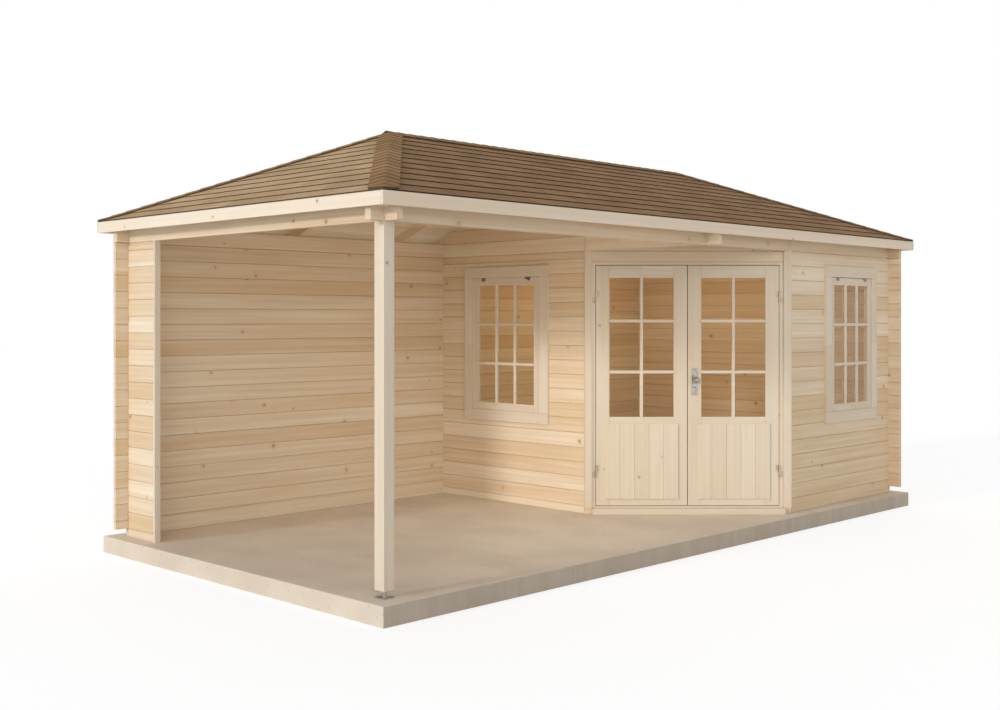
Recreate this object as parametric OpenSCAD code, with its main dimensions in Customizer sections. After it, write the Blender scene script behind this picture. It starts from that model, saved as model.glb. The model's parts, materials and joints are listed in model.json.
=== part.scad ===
// Log-built garden house: a closed room with a cut-off door corner, an open veranda, a hip roof and a slab.
// X runs along the front, Y to the back, Z up. The origin is the centre of the slab's underside.

/* [House] */
// Length of the log frame along the front, over its outer faces
frame_l = 6135; // [5900:5:6600]
// Depth of the log frame, over its outer faces
frame_w = 2620; // [2500:5:2900]
// Length of the closed room along the front
room_l = 2950; // [2800:5:3100]
// Corner cut off the room, along its front wall
cut_x = 1210; // [1150:5:1260]
// Corner cut off the room, along its side wall
cut_y = 1075; // [1030:5:1120]
// Length of the veranda's end wall, from the back
end_wall_l = 360; // [250:5:600]

/* [Slab] */
// How far the slab reaches past the log frame
slab_margin = 115; // [105:1:140]
// Height of the slab
slab_h = 115; // [80:1:200]
// Radius of the slab's upright corners
slab_corner_r = 18; // [5:1:40]

/* [Logs] */
// Thickness of a log
log_t = 28; // [26:1:34]
// Height that one log covers
log_h = 114; // [112:1:118]
// Rows of logs in a wall
log_rows = 18; // [18:1:19]
// Length that log and plate ends stand past the crossing wall
log_end = 100; // [60:1:110]
// Bevel along the edges of a log
log_bevel = 4; // [2:0.5:6]
// Width of the tongue between logs
tongue_w = 9; // [6:0.5:12]
// Height of the tongue between logs
tongue_h = 7; // [4:0.5:10]

/* [Plates and post] */
// Height of the plates that lie on the walls
plate_h = 114; // [100:1:120]
// Thickness of the plates
plate_t = 44; // [40:1:60]
// Width of the square veranda post
post_w = 76; // [60:1:100]
// Height of the post's foot
foot_h = 43; // [30:1:70]
// Thickness of the foot's two flanges
foot_flange_t = 5; // [3:0.5:8]
// Radius of the foot's spindle
foot_spindle_r = 14; // [8:0.5:20]
// Thickness of the trim board on the veranda's end wall
end_trim_t = 20; // [12:1:28]
// How far that trim board stands past each face of the wall
end_trim_lap = 8; // [2:1:15]

/* [Door wall] */
// Width of each corner strip beside the door
strip_w = 58; // [50:1:70]
// How far the corner strips stand proud of the walls
strip_proud = 18; // [8:1:24]
// Height of the strips' lower ends over the slab
strip_lift = 46; // [30:1:60]
// How far the strips stop below the plates' tops
strip_drop = 24; // [10:1:40]
// Width of the door jambs
jamb_w = 30; // [24:1:45]
// Depth of the door frame through the wall
frame_d = 60; // [56:1:80]
// Height of the frame's head
head_h = 25; // [20:1:40]
// Top of the door frame over the slab
door_top = 1968; // [1960:1:2000]
// Height of the door sill
sill_h = 57; // [45:1:70]
// Height of the sill's outer nose
nose_h = 44; // [25:1:45]
// How far the sill's nose reaches out
nose_out = 50; // [20:1:80]
// How far the door stop reaches over the leaf
stop_w = 14; // [8:1:20]

/* [Door leaves] */
// Thickness of a door leaf
leaf_t = 40; // [36:1:44]
// Gap round a door leaf
leaf_gap = 5; // [5:0.5:7]
// Gap where the two leaves meet
meeting_gap = 7; // [6:0.5:10]
// Width of a leaf's stiles
stile_w = 105; // [90:1:115]
// Height of a leaf's top rail
top_rail_h = 96; // [80:1:120]
// Height of a leaf's bottom rail
bottom_rail_h = 86; // [60:1:110]
// Height of the rail between the glass and the lower bay
mid_rail_h = 89; // [70:1:110]
// Height of the lower bay
bay_h = 518; // [400:1:600]
// Thickness of the panel planted over the lower bay
panel_t = 12; // [9:1:16]
// How far that panel laps over the frame round the bay
panel_lap = 34; // [20:1:45]
// Depth of the outer lip that holds the glass
lip_t = 10; // [8:1:12]
// Width of the rebate behind that lip
rebate_w = 10; // [6:1:14]
// Thickness of the glass
glass_t = 4; // [3:0.5:6]

/* [Door hardware] */
// Radius of a hinge knuckle
knuckle_r = 7; // [6:0.5:9]
// Radius of a hinge pin
pin_r = 4; // [3:0.5:5]
// Height of one hinge, both knuckles
hinge_h = 95; // [70:1:120]
// Reach of a hinge plate from the axis
hinge_reach = 26; // [18:1:28]
// Thickness of a hinge plate
hinge_plate_t = 2.5; // [2:0.5:4]
// Centre of the lower hinges over the slab
low_hinge_z = 330; // [250:1:450]
// Centre of the upper hinges over the slab
high_hinge_z = 1690; // [1500:1:1750]
// Height of the handle plates
handle_plate_h = 215; // [160:1:240]
// Width of the handle plates
handle_plate_w = 45; // [36:1:50]
// Thickness of the handle plates
handle_plate_t = 5; // [3:0.5:8]
// Centre of the handle plates over the slab
handle_z = 1030; // [900:1:1100]
// Radius of the knobs
knob_r = 25; // [20:0.5:28]
// Height of the knobs' axis over the plates' centre
knob_rise = 15; // [0:1:60]
// Radius of the knobs' necks
knob_neck_r = 9; // [7:0.5:12]
// Length of the knobs' necks
knob_neck_l = 32; // [28:1:40]

/* [Windows] */
// Width of a window sash
sash_w = 720; // [660:1:760]
// Height of a window sash
sash_h = 1100; // [1000:1:1140]
// Gap between the casings' tops and the plates
window_drop = 99; // [60:1:130]
// Width of a sash's members
sash_bar = 61; // [45:1:75]
// Thickness of a sash
sash_t = 36; // [30:1:44]
// Gap round a sash
sash_gap = 2; // [1:0.5:4]
// Width of the casing boards round a window
casing_w = 88; // [60:1:100]
// Thickness of the casing boards
casing_t = 20; // [14:1:24]
// Thickness of the lining in the wall
lining_t = 18; // [14:1:24]
// Offset of the side window from the middle of its wall, to the back
side_window_shift = 22.5; // [-100:2.5:100]
// Offset of the front window from the middle of its wall, to the right
front_window_shift = 125; // [0:5:200]

/* [Roof] */
// Pitch of all four slopes, in degrees
roof_pitch = 22.7; // [21:0.1:24]
// How far the roof reaches past the log frame
overhang = 145; // [130:1:180]
// Height of the roof's surface at the eaves, over the walls' tops
eave_rise = 146; // [140:1:160]
// Height of the fascia boards
fascia_h = 75; // [60:1:90]
// Thickness of the fascia boards
fascia_t = 20; // [16:1:28]
// Thickness of the shingle covering
cover_t = 8; // [5:0.5:12]
// Thickness of the roof boards
board_t = 18; // [16:1:22]
// Depth of the rafters, square to the slope
rafter_d = 70; // [60:1:80]
// Thickness of the rafters
rafter_t = 44; // [36:1:60]
// Distance from the side wall to the first rafter over the veranda
veranda_rafter_gap = 467; // [420:1:520]
// Distance from the side wall to the first rafter over the room
room_rafter_gap = 204; // [150:1:260]
// Distance from the first to the second rafter on either side
rafter_pitch = 1140; // [1000:5:1180]
// Depth of the ridge board
ridge_d = 120; // [90:1:150]
// Thickness of the ridge board
ridge_t = 28; // [20:1:40]
// Width of the caps on hips and ridge, over both sides
cap_w = 210; // [150:1:260]
// Thickness of the caps
cap_t = 18; // [10:0.5:24]

/* [Floor] */
// Height of the floor bearers in the room
bearer_h = 38; // [30:1:38]
// Width of the floor bearers
bearer_w = 58; // [45:1:70]
// Number of floor bearers
bearer_count = 5; // [4:1:7]
// Thickness of the floor boards
floor_t = 19; // [16:1:19]
// Gap between the floor and the walls
floor_gap = 8; // [5:1:15]

/* [Hidden] */

// Gap between pieces that seat on each other
fit = 0.3;
// How far a cutting shape reaches past what it cuts
over = 20;
// Radial play of a hinge pin in its knuckle
pin_play = 0.05;
// Facets of round forms
round_fn = 48;

// Colours
wood = "#e6cfa8";
planed_wood = "#ecd9b6";
shingle = "#6f5d47";
concrete = "#cfc4b4";
glass = "#9fb4b4";
steel = "#b4b4b2";

// Log frame
half_l = frame_l / 2;
half_w = frame_w / 2;
wall_h = log_rows * log_h;
quarter = log_h / 4;
half_log = log_h / 2;
left_x = -half_l;
right_x = half_l - log_t;
side_x = half_l - room_l;
front_y = -half_w;
back_y = half_w - log_t;
end_wall_y = half_w - end_wall_l;
plate_top = wall_h + plate_h;
plate_xs = [left_x, side_x, half_l - plate_t];
plate_ys = [front_y, half_w - plate_t];

// Door wall, worked out along its own line from the side wall's corner
corner_y = front_y + cut_y;
corner_x = side_x + cut_x;
door_wall_l = norm([cut_x, cut_y]);
door_angle = atan2(cut_y, cut_x);
frame_u = strip_w + jamb_w;
leaf_w = (door_wall_l - 2 * frame_u - 2 * leaf_gap - meeting_gap) / 2;
leaf_u = frame_u + leaf_gap;
leaf_z = sill_h + leaf_gap;
leaf_h = door_top - head_h - leaf_gap - leaf_z;
door_glass_w = leaf_w - 2 * stile_w;
door_glass_z = bottom_rail_h + bay_h + mid_rail_h;
door_glass_h = leaf_h - top_rail_h - door_glass_z;
hinge_u = frame_u + leaf_gap / 2;
hinge_v = -knuckle_r - fit;
knuckle_h = (hinge_h - fit) / 2;
handle_u = leaf_u + leaf_w + meeting_gap + stile_w / 2;

// Windows
lining_w = sash_w + 2 * sash_gap;
lining_h = sash_h + 2 * sash_gap;
hole_w = lining_w + 2 * lining_t + 2 * fit;
hole_h = lining_h + 2 * lining_t + 2 * fit;
pane_w = sash_w - 2 * sash_bar;
pane_h = sash_h - 2 * sash_bar;
window_z = wall_h - window_drop - casing_w - lining_h / 2;
sash_set = casing_t / 2;

// Roof
roof_l = frame_l + 2 * overhang;
roof_w = frame_w + 2 * overhang;
slope = tan(roof_pitch);
eave_z = wall_h + eave_rise;
ridge_z = eave_z + slope * roof_w / 2;
ridge_x = (roof_l - roof_w) / 2;
cover_v = cover_t / cos(roof_pitch);
board_v = board_t / cos(roof_pitch);
rafter_v = rafter_d / cos(roof_pitch);
cap_v = cap_t / cos(roof_pitch);
under_cover = cover_v + fit;
under_boards = under_cover + board_v;
under_rafters = under_boards + fit + rafter_v;
fascia_z = eave_z - fascia_h;
inner_l = roof_l - 2 * fascia_t - 2 * fit;
inner_w = roof_w - 2 * fascia_t - 2 * fit;
gable_rows = ceil((ridge_z - plate_top) / log_h);
veranda_rafter_x = side_x - veranda_rafter_gap - rafter_t;
room_rafter_x = side_x + log_t + room_rafter_gap;
rafter_xs = [veranda_rafter_x - rafter_pitch, veranda_rafter_x,
    room_rafter_x, room_rafter_x + rafter_pitch];

// Shared forms

// Cross-section of a log that is h high: bevelled edges, a tongue on top and a groove below
function log_outline(h, tongue, groove) = let (
    top = h - fit,
    tip = top + tongue_h,
    mid = log_t / 2,
    reach = tongue_w / 2,
    room = reach + fit,
    deep = tongue_h + fit
) concat(
    [[log_bevel, 0]],
    groove ? [[mid - room, 0], [mid - room, deep], [mid + room, deep], [mid + room, 0]] : [],
    [[log_t - log_bevel, 0], [log_t, log_bevel], [log_t, top - log_bevel], [log_t - log_bevel, top]],
    tongue ? [[mid + reach, top], [mid + reach, tip], [mid - reach, tip], [mid - reach, top]] : [],
    [[log_bevel, top], [0, top - log_bevel], [0, log_bevel]]
);

// A log from one length to another, with its outer face on Y = 0
module log_bar(from, to, h, tongue, groove) {
    translate([from, 0, 0])
        rotate([90, 0, 90])
            linear_extrude(to - from)
                polygon(log_outline(h, tongue, groove));
}

// A log with cross-lap notches where other walls pass, in its lower and upper quarter
module lapped_log(from, to, h, laps, low, high, tongue, groove) {
    difference() {
        log_bar(from, to, h, tongue, groove);
        for (lap = laps) {
            translate([lap - fit, -over, 0]) {
                if (low) {
                    translate([0, 0, -over]) cube([log_t + 2 * fit, log_t + 2 * over, over + quarter]);
                }
                if (high) {
                    translate([0, 0, h - quarter - fit])
                        cube([log_t + 2 * fit, log_t + 2 * over, quarter + over]);
                }
            }
        }
    }
}

// A wall of whole logs. The lowest log's free ends are cut up by half a log
module whole_log_wall(from, to, laps, foot_from, foot_to) {
    for (row = [0 : log_rows - 1]) {
        translate([0, 0, row * log_h]) {
            difference() {
                lapped_log(from, to, log_h, laps, true, true, row < log_rows - 1, row > 0);
                if (row == 0) {
                    for (end = [[from - over, foot_from], [foot_to, to + over]]) {
                        translate([end[0], -over, -over])
                            cube([end[1] - end[0], log_t + 2 * over, half_log + over]);
                    }
                }
            }
        }
    }
}

// A wall that starts and ends with half a log, so that its logs lap with those of the whole-log walls
module half_log_wall(from, to, laps, foot_from, foot_to) {
    lapped_log(foot_from, foot_to, half_log, laps, false, true, true, false);
    for (row = [1 : log_rows - 1]) {
        translate([0, 0, row * log_h - half_log])
            lapped_log(from, to, log_h, laps, true, true, true, true);
    }
    translate([0, 0, wall_h - half_log]) lapped_log(from, to, half_log, laps, true, false, false, true);
}

// Turns a piece that runs along X to run along Y, with its outer face on the plane of x
module along_y(x, thick) {
    translate([x + thick, 0, 0]) rotate([0, 0, 90]) children();
}

module on_slab() {
    translate([0, 0, slab_h]) children();
}

// Line of the door wall: X from the side wall's corner to the front wall, Y into the room
module on_door_wall() {
    translate([side_x, corner_y, slab_h]) rotate([0, 0, -door_angle]) children();
}

// The right half of the door wall mirrors the left half
module right_half() {
    translate([door_wall_l, 0, 0]) mirror([1, 0, 0]) children();
}

// A plate along X with its ends past the frame
module plate_bar(length, y) {
    translate([-length / 2 - log_end, y, wall_h]) cube([length + 2 * log_end, plate_t, plate_h - fit]);
}

// Room for the crossing plate, in the upper or the lower half of this one
module plate_lap(x, y, z) {
    translate([x - fit, y - fit, z]) cube([plate_t + 2 * fit, plate_t + 2 * fit, plate_h / 2 + over]);
}

module length_plate(y) {
    difference() {
        plate_bar(frame_l, y);
        for (x = plate_xs) plate_lap(x, y, wall_h + plate_h / 2);
    }
}

module cross_plate(x) {
    difference() {
        translate([x, -half_w - log_end, wall_h])
            cube([plate_t, frame_w + 2 * log_end, plate_h - fit]);
        for (y = plate_ys) plate_lap(x, y, wall_h - over + fit);
    }
}

// All plates with a fitting gap round them, for what is notched over them
module plate_room() {
    for (y = plate_ys) {
        translate([-half_l - log_end - fit, y - fit, wall_h - fit])
            cube([frame_l + 2 * log_end + 2 * fit, plate_t + 2 * fit, plate_h + fit]);
    }
    for (x = plate_xs) {
        translate([x - fit, -half_w - log_end - fit, wall_h - fit])
            cube([plate_t + 2 * fit, frame_w + 2 * log_end + 2 * fit, plate_h + fit]);
    }
}

// Everything under the roof's surface, lowered by drop, with its outline grown by grow down the slopes
module under_roof(drop, grow) {
    long = roof_l / 2 + grow;
    wide = roof_w / 2 + grow;
    edge_z = eave_z - drop - grow * slope;
    peak_z = ridge_z - drop;
    intersection() {
        rotate([90, 0, 90])
            translate([0, 0, -long])
                linear_extrude(2 * long)
                    polygon([[-wide, 0], [wide, 0], [wide, edge_z], [0, peak_z], [-wide, edge_z]]);
        rotate([90, 0, 0])
            translate([0, 0, -wide])
                linear_extrude(2 * wide)
                    polygon([[-long, 0], [long, 0], [long, edge_z], [ridge_x, peak_z], [-ridge_x, peak_z],
                        [-long, edge_z]]);
    }
}

// One layer of the roof between two depths, inside the fascia boards
module roof_layer(top, bottom) {
    difference() {
        intersection() {
            under_roof(top, 0);
            translate([-inner_l / 2, -inner_w / 2, 0]) cube([inner_l, inner_w, ridge_z + over]);
        }
        under_roof(bottom, over);
    }
}

// Plan zones of the four slopes, each drawn back from the hips by the fitting gap
module long_zone(side) {
    mirror([0, side > 0 ? 0 : 1, 0])
        translate([0, fit, 0])
            linear_extrude(ridge_z + over)
                polygon([[-ridge_x, 0], [ridge_x, 0], [roof_l / 2, roof_w / 2], [-roof_l / 2, roof_w / 2]]);
}

module end_zone(side) {
    mirror([side > 0 ? 0 : 1, 0, 0])
        translate([fit, 0, 0])
            linear_extrude(ridge_z + over)
                polygon([[ridge_x, 0], [roof_l / 2, -roof_w / 2], [roof_l / 2, roof_w / 2]]);
}

// Upright band along each hip, from the ridge's end out to the eaves
module hip_band(width, x_side, y_side) {
    turn = atan2(y_side, x_side);
    translate([x_side * ridge_x, 0, 0])
        rotate([0, 0, turn])
            translate([0, -width / 2, 0])
                cube([roof_w, width, ridge_z + over]);
}

module ridge_band(width, reach) {
    translate([-reach, -width / 2, 0]) cube([2 * reach, width, ridge_z + over]);
}

// What stands inside the eaves, over the fascia boards' lower edges
module rafter_layer() {
    intersection() {
        roof_layer(under_boards + fit, under_rafters);
        translate([-roof_l / 2, -roof_w / 2, fascia_z + fit]) cube([roof_l, roof_w, ridge_z]);
    }
}

module box_ring(outer_w, outer_h, inner_w, inner_h, depth) {
    difference() {
        translate([-outer_w / 2, 0, -outer_h / 2]) cube([outer_w, depth, outer_h]);
        translate([-inner_w / 2, -over, -inner_h / 2]) cube([inner_w, depth + 2 * over, inner_h]);
    }
}

// Slab, walls and plates

module concrete_slab() {
    long = frame_l + 2 * slab_margin;
    wide = frame_w + 2 * slab_margin;
    color(concrete)
        linear_extrude(slab_h)
            union() {
                square([long - 2 * slab_corner_r, wide], center = true);
                square([long, wide - 2 * slab_corner_r], center = true);
                for (x = [-1, 1], y = [-1, 1]) {
                    translate([x * (long / 2 - slab_corner_r), y * (wide / 2 - slab_corner_r)])
                        circle(r = slab_corner_r, $fn = round_fn);
                }
            }
}

module back_wall() {
    color(wood)
        on_slab()
            translate([0, back_y, 0])
                whole_log_wall(-half_l - log_end, half_l + log_end, [left_x, side_x, right_x],
                    left_x, half_l);
}

module veranda_end_wall() {
    color(wood)
        on_slab()
            along_y(left_x, log_t)
                half_log_wall(end_wall_y, half_w + log_end, [back_y], end_wall_y, half_w);
}

// Middles of the two windows, on the walls' outer faces, facing out along -Y
module at_side_window() {
    translate([side_x, (corner_y + half_w) / 2 + side_window_shift, slab_h + window_z])
        rotate([0, 0, -90])
            children();
}

module at_front_window() {
    translate([(corner_x + half_l) / 2 + front_window_shift, front_y, slab_h + window_z]) children();
}

module window_hole() {
    translate([-hole_w / 2, -over, -hole_h / 2]) cube([hole_w, log_t + 2 * over, hole_h]);
}

module cabin_side_wall() {
    color(wood)
        difference() {
            on_slab()
                along_y(side_x, log_t)
                    half_log_wall(corner_y + fit, half_w + log_end, [back_y], corner_y + fit, half_w);
            at_side_window() window_hole();
        }
}

module cabin_front_wall() {
    color(wood)
        difference() {
            on_slab()
                translate([0, front_y, 0])
                    whole_log_wall(corner_x + fit, half_l + log_end, [right_x], corner_x, half_l);
            at_front_window() window_hole();
        }
}

module cabin_right_wall() {
    color(wood)
        on_slab()
            along_y(right_x, log_t)
                half_log_wall(-half_w - log_end, half_w + log_end, [front_y, back_y], -half_w, half_w);
}

// Logs over the side wall's plate, cut to the roof's slopes and notched for the ridge board
module cabin_side_gable() {
    color(wood)
        on_slab()
            difference() {
                intersection() {
                    along_y(side_x, log_t)
                        for (row = [0 : gable_rows]) {
                            translate([0, 0, plate_top + row * log_h])
                                log_bar(-half_w, half_w, log_h, true, row > 0);
                        }
                    under_roof(under_boards + fit, 0);
                }
                ridge_room();
            }
}

module front_plate() {
    color(wood) on_slab() length_plate(front_y);
}

module back_plate() {
    color(wood) on_slab() length_plate(half_w - plate_t);
}

module left_plate() {
    color(wood) on_slab() cross_plate(left_x);
}

module right_plate() {
    color(wood) on_slab() cross_plate(half_l - plate_t);
}

module cabin_side_plate() {
    color(wood) on_slab() cross_plate(side_x);
}

module veranda_post() {
    color(planed_wood)
        on_slab()
            translate([left_x, front_y, foot_h + fit])
                cube([post_w, post_w, wall_h - foot_h - 2 * fit]);
}

module post_foot() {
    color(steel)
        on_slab()
            translate([left_x + post_w / 2, front_y + post_w / 2, 0]) {
                for (z = [0, foot_h - foot_flange_t]) {
                    translate([-post_w / 2, -post_w / 2, z]) cube([post_w, post_w, foot_flange_t]);
                }
                cylinder(r = foot_spindle_r, h = foot_h, $fn = round_fn);
            }
}

module veranda_end_trim() {
    color(planed_wood)
        on_slab()
            translate([left_x - end_trim_lap, end_wall_y - end_trim_t - fit, 0])
                cube([log_t + 2 * end_trim_lap, end_trim_t, wall_h - fit]);
}

// Door wall

// Logs over the door, up to the rafters, clear of the plates that cross there
module door_header() {
    first_h = wall_h - door_top;
    color(wood)
        difference() {
            intersection() {
                on_door_wall() {
                    translate([0, 0, door_top + fit])
                        log_bar(strip_w + fit, door_wall_l - strip_w - fit, first_h - fit, true, false);
                    for (row = [0 : gable_rows]) {
                        translate([0, 0, wall_h + row * log_h])
                            log_bar(strip_w + fit, door_wall_l - strip_w - fit, log_h, true, true);
                    }
                }
                on_slab() under_roof(under_rafters + fit, 0);
            }
            on_slab() plate_room();
        }
}

// Wedge strip that closes the blunt corner between a wall's end and the door frame
module corner_strip(angle) {
    translate([0, 0, strip_lift])
        linear_extrude(plate_top - strip_drop - strip_lift)
            polygon([[0, 0], [0, -strip_proud], [strip_w, -strip_proud], [strip_w, strip_w * tan(angle)]]);
}

module corner_strips() {
    color(planed_wood)
        difference() {
            on_door_wall() {
                corner_strip(door_angle);
                right_half() corner_strip(90 - door_angle);
            }
            on_slab() plate_room();
        }
}

// Jamb with the stop that the leaf closes against
module jamb() {
    stop_d = frame_d - leaf_t - leaf_gap;
    stop_h = door_top - sill_h - head_h - fit;
    translate([strip_w + fit, 0, sill_h + fit]) {
        cube([jamb_w - fit, frame_d, door_top - sill_h - fit]);
        translate([0, frame_d - stop_d, 0]) cube([jamb_w + leaf_gap + stop_w, stop_d, stop_h]);
    }
}

module door_jambs() {
    color(planed_wood)
        on_door_wall() {
            jamb();
            right_half() jamb();
        }
}

module door_head() {
    stop_d = frame_d - leaf_t - leaf_gap;
    color(planed_wood)
        on_door_wall()
            difference() {
                translate([frame_u + fit, 0, door_top - head_h - leaf_gap - stop_w])
                    cube([door_wall_l - 2 * frame_u - 2 * fit, frame_d, head_h + leaf_gap + stop_w]);
                translate([0, -over, 0])
                    cube([door_wall_l, frame_d - stop_d + over, door_top - head_h]);
                for (u = [0, door_wall_l - frame_u - leaf_gap - stop_w - fit]) {
                    translate([u, -over, 0])
                        cube([frame_u + leaf_gap + stop_w + fit, frame_d + 2 * over, door_top - head_h]);
                }
            }
}

module door_sill() {
    color(planed_wood)
        on_door_wall()
            translate([strip_w + fit, 0, 0]) {
                cube([door_wall_l - 2 * strip_w - 2 * fit, frame_d, sill_h]);
                translate([0, -nose_out, 0]) cube([door_wall_l - 2 * strip_w - 2 * fit, nose_out, nose_h]);
            }
}

// Leaf frame, with its outer face on Y = 0: open in the lower bay, rebated from the inside for the glass
module leaf_frame() {
    difference() {
        cube([leaf_w, leaf_t, leaf_h]);
        for (hole = [[bottom_rail_h, bay_h], [door_glass_z, door_glass_h]]) {
            translate([stile_w, -over, hole[0]]) cube([door_glass_w, leaf_t + 2 * over, hole[1]]);
        }
        translate([stile_w - rebate_w, lip_t, door_glass_z - rebate_w])
            cube([door_glass_w + 2 * rebate_w, leaf_t, door_glass_h + 2 * rebate_w]);
    }
}

// The glass that fills the rebate
module leaf_glass() {
    translate([stile_w - rebate_w + fit, lip_t + fit, door_glass_z - rebate_w + fit])
        cube([door_glass_w + 2 * rebate_w - 2 * fit, glass_t, door_glass_h + 2 * rebate_w - 2 * fit]);
}

// The panel on the outer face, over the lower bay
module leaf_panel() {
    translate([stile_w - panel_lap, -panel_t - fit, bottom_rail_h - panel_lap])
        cube([door_glass_w + 2 * panel_lap, panel_t, bay_h + 2 * panel_lap]);
}

module at_leaf() {
    on_door_wall() translate([leaf_u, 0, leaf_z]) children();
}

module at_right_leaf() {
    on_door_wall() right_half() translate([leaf_u, 0, leaf_z]) children();
}

module left_door_leaf() {
    color(planed_wood) at_leaf() leaf_frame();
}

module left_door_panel() {
    color(planed_wood) at_leaf() leaf_panel();
}

module left_door_glass() {
    color(glass) at_leaf() leaf_glass();
}

module right_door_leaf() {
    color(planed_wood) at_right_leaf() leaf_frame();
}

module right_door_panel() {
    color(planed_wood) at_right_leaf() leaf_panel();
}

module right_door_glass() {
    color(glass) at_right_leaf() leaf_glass();
}

// Hinges: the lower knuckle with its pin is on the jamb, the upper one is on the leaf

module at_hinges() {
    for (z = [low_hinge_z, high_hinge_z]) {
        translate([hinge_u, hinge_v, z]) children();
    }
}

module hinge_plate(side, z) {
    translate([side < 0 ? -hinge_reach : 0, knuckle_r - hinge_plate_t, z])
        cube([hinge_reach, hinge_plate_t, knuckle_h]);
}

module frame_hinge_pair() {
    at_hinges() {
        translate([0, 0, -hinge_h / 2]) cylinder(r = knuckle_r, h = knuckle_h, $fn = round_fn);
        translate([0, 0, -hinge_h / 2]) cylinder(r = pin_r, h = hinge_h - hinge_plate_t, $fn = round_fn);
        hinge_plate(-1, -hinge_h / 2);
    }
}

module leaf_hinge_pair() {
    at_hinges()
        difference() {
            union() {
                translate([0, 0, fit / 2]) cylinder(r = knuckle_r, h = knuckle_h, $fn = round_fn);
                hinge_plate(1, fit / 2);
            }
            translate([0, 0, -hinge_h / 2]) cylinder(r = pin_r + pin_play, h = hinge_h, $fn = round_fn);
        }
}

module frame_hinges() {
    color(steel)
        on_door_wall() {
            frame_hinge_pair();
            right_half() frame_hinge_pair();
        }
}

module left_door_hinges() {
    color(steel) on_door_wall() leaf_hinge_pair();
}

module right_door_hinges() {
    color(steel) on_door_wall() right_half() leaf_hinge_pair();
}

// Plate with a round knob, on the outside and the inside of the right leaf
module handle() {
    translate([-handle_plate_w / 2, -handle_plate_t - fit, -handle_plate_h / 2])
        cube([handle_plate_w, handle_plate_t, handle_plate_h]);
    translate([0, -fit - handle_plate_t / 2, knob_rise]) {
        rotate([90, 0, 0]) cylinder(r = knob_neck_r, h = knob_neck_l, $fn = round_fn);
        translate([0, -knob_neck_l - knob_r / 2, 0]) sphere(r = knob_r, $fn = round_fn);
    }
}

module right_door_handles() {
    color(steel)
        on_door_wall()
            translate([handle_u, 0, handle_z]) {
                handle();
                translate([0, leaf_t, 0]) mirror([0, 1, 0]) handle();
            }
}

// Windows

// Four boards round a rectangle, the upright ones between the others
module board_frame(inner_w, inner_h, width, depth) {
    for (side = [-1, 1]) {
        translate([-inner_w / 2 - width, 0, side * (inner_h + width) / 2 - width / 2])
            cube([inner_w + 2 * width, depth, width]);
        translate([side * (inner_w + width) / 2 - width / 2, 0, -inner_h / 2 + fit])
            cube([width, depth, inner_h - 2 * fit]);
    }
}

// Casing boards on the wall's face, and the lining in its hole
module window_casing() {
    translate([0, -casing_t - fit, 0]) board_frame(lining_w, lining_h, casing_w, casing_t);
    board_frame(lining_w, lining_h, lining_t, log_t);
}

module window_sash() {
    difference() {
        box_ring(sash_w, sash_h, pane_w, pane_h, sash_t);
        translate([0, lip_t, 0])
            translate([-pane_w / 2 - rebate_w, 0, -pane_h / 2 - rebate_w])
                cube([pane_w + 2 * rebate_w, sash_t, pane_h + 2 * rebate_w]);
    }
}

module sash_glass() {
    translate([-pane_w / 2 - rebate_w + fit, lip_t + fit, -pane_h / 2 - rebate_w + fit])
        cube([pane_w + 2 * rebate_w - 2 * fit, glass_t, pane_h + 2 * rebate_w - 2 * fit]);
}

module in_casing() {
    translate([0, -sash_set, -sash_gap]) children();
}

module side_window_casing() {
    color(planed_wood) at_side_window() window_casing();
}

module side_window_sash() {
    color(planed_wood) at_side_window() in_casing() window_sash();
}

module front_window_casing() {
    color(planed_wood) at_front_window() window_casing();
}

module front_window_sash() {
    color(planed_wood) at_front_window() in_casing() window_sash();
}

module window_glass() {
    color(glass) {
        at_side_window() in_casing() sash_glass();
        at_front_window() in_casing() sash_glass();
    }
}

// Floor of the room, on bearers

// Plan of the room inside the walls, drawn in by the floor's gap
module room_plan() {
    in = log_t + floor_gap;
    difference() {
        translate([side_x + in, front_y + in]) square([room_l - 2 * in, frame_w - 2 * in]);
        translate([side_x, corner_y])
            rotate(-door_angle)
                translate([-frame_l, -frame_w]) square([2 * frame_l, frame_w + frame_d + floor_gap]);
    }
}

module floor_bearers() {
    in = log_t + floor_gap;
    pitch = (frame_w - 2 * in - bearer_w) / (bearer_count - 1);
    color(wood)
        on_slab()
            intersection() {
                for (i = [0 : bearer_count - 1]) {
                    translate([side_x + in, front_y + in + i * pitch, 0])
                        cube([room_l - 2 * in, bearer_w, bearer_h]);
                }
                linear_extrude(bearer_h) room_plan();
            }
}

module floor_boards() {
    color(planed_wood)
        on_slab()
            translate([0, 0, bearer_h + fit])
                linear_extrude(floor_t - fit)
                    room_plan();
}

// Roof

module ridge_body() {
    intersection() {
        translate([-ridge_x, -ridge_t / 2, ridge_z - under_boards - ridge_d])
            cube([2 * ridge_x, ridge_t, ridge_d]);
        under_roof(under_boards + fit, 0);
    }
}

// The ridge board with a fitting gap round it
module ridge_room() {
    translate([-ridge_x - fit, -ridge_t / 2 - fit, ridge_z - under_boards - ridge_d - fit])
        cube([2 * ridge_x + 2 * fit, ridge_t + 2 * fit, ridge_d + over]);
}

module ridge_board() {
    color(wood) on_slab() ridge_body();
}

// Each hip rafter runs from the ridge's end to a corner and keeps to its own side of the middle
module hip_rafter(x_side, y_side) {
    difference() {
        intersection() {
            rafter_layer();
            hip_band(rafter_t, x_side, y_side);
            translate([-roof_l / 2, y_side > 0 ? fit / 2 : -roof_w / 2, 0])
                cube([roof_l, roof_w / 2 - fit / 2, ridge_z + over]);
        }
        plate_room();
        ridge_room();
    }
}

module hip_rafters() {
    color(wood)
        on_slab()
            for (x = [-1, 1], y = [-1, 1]) hip_rafter(x, y);
}

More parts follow.
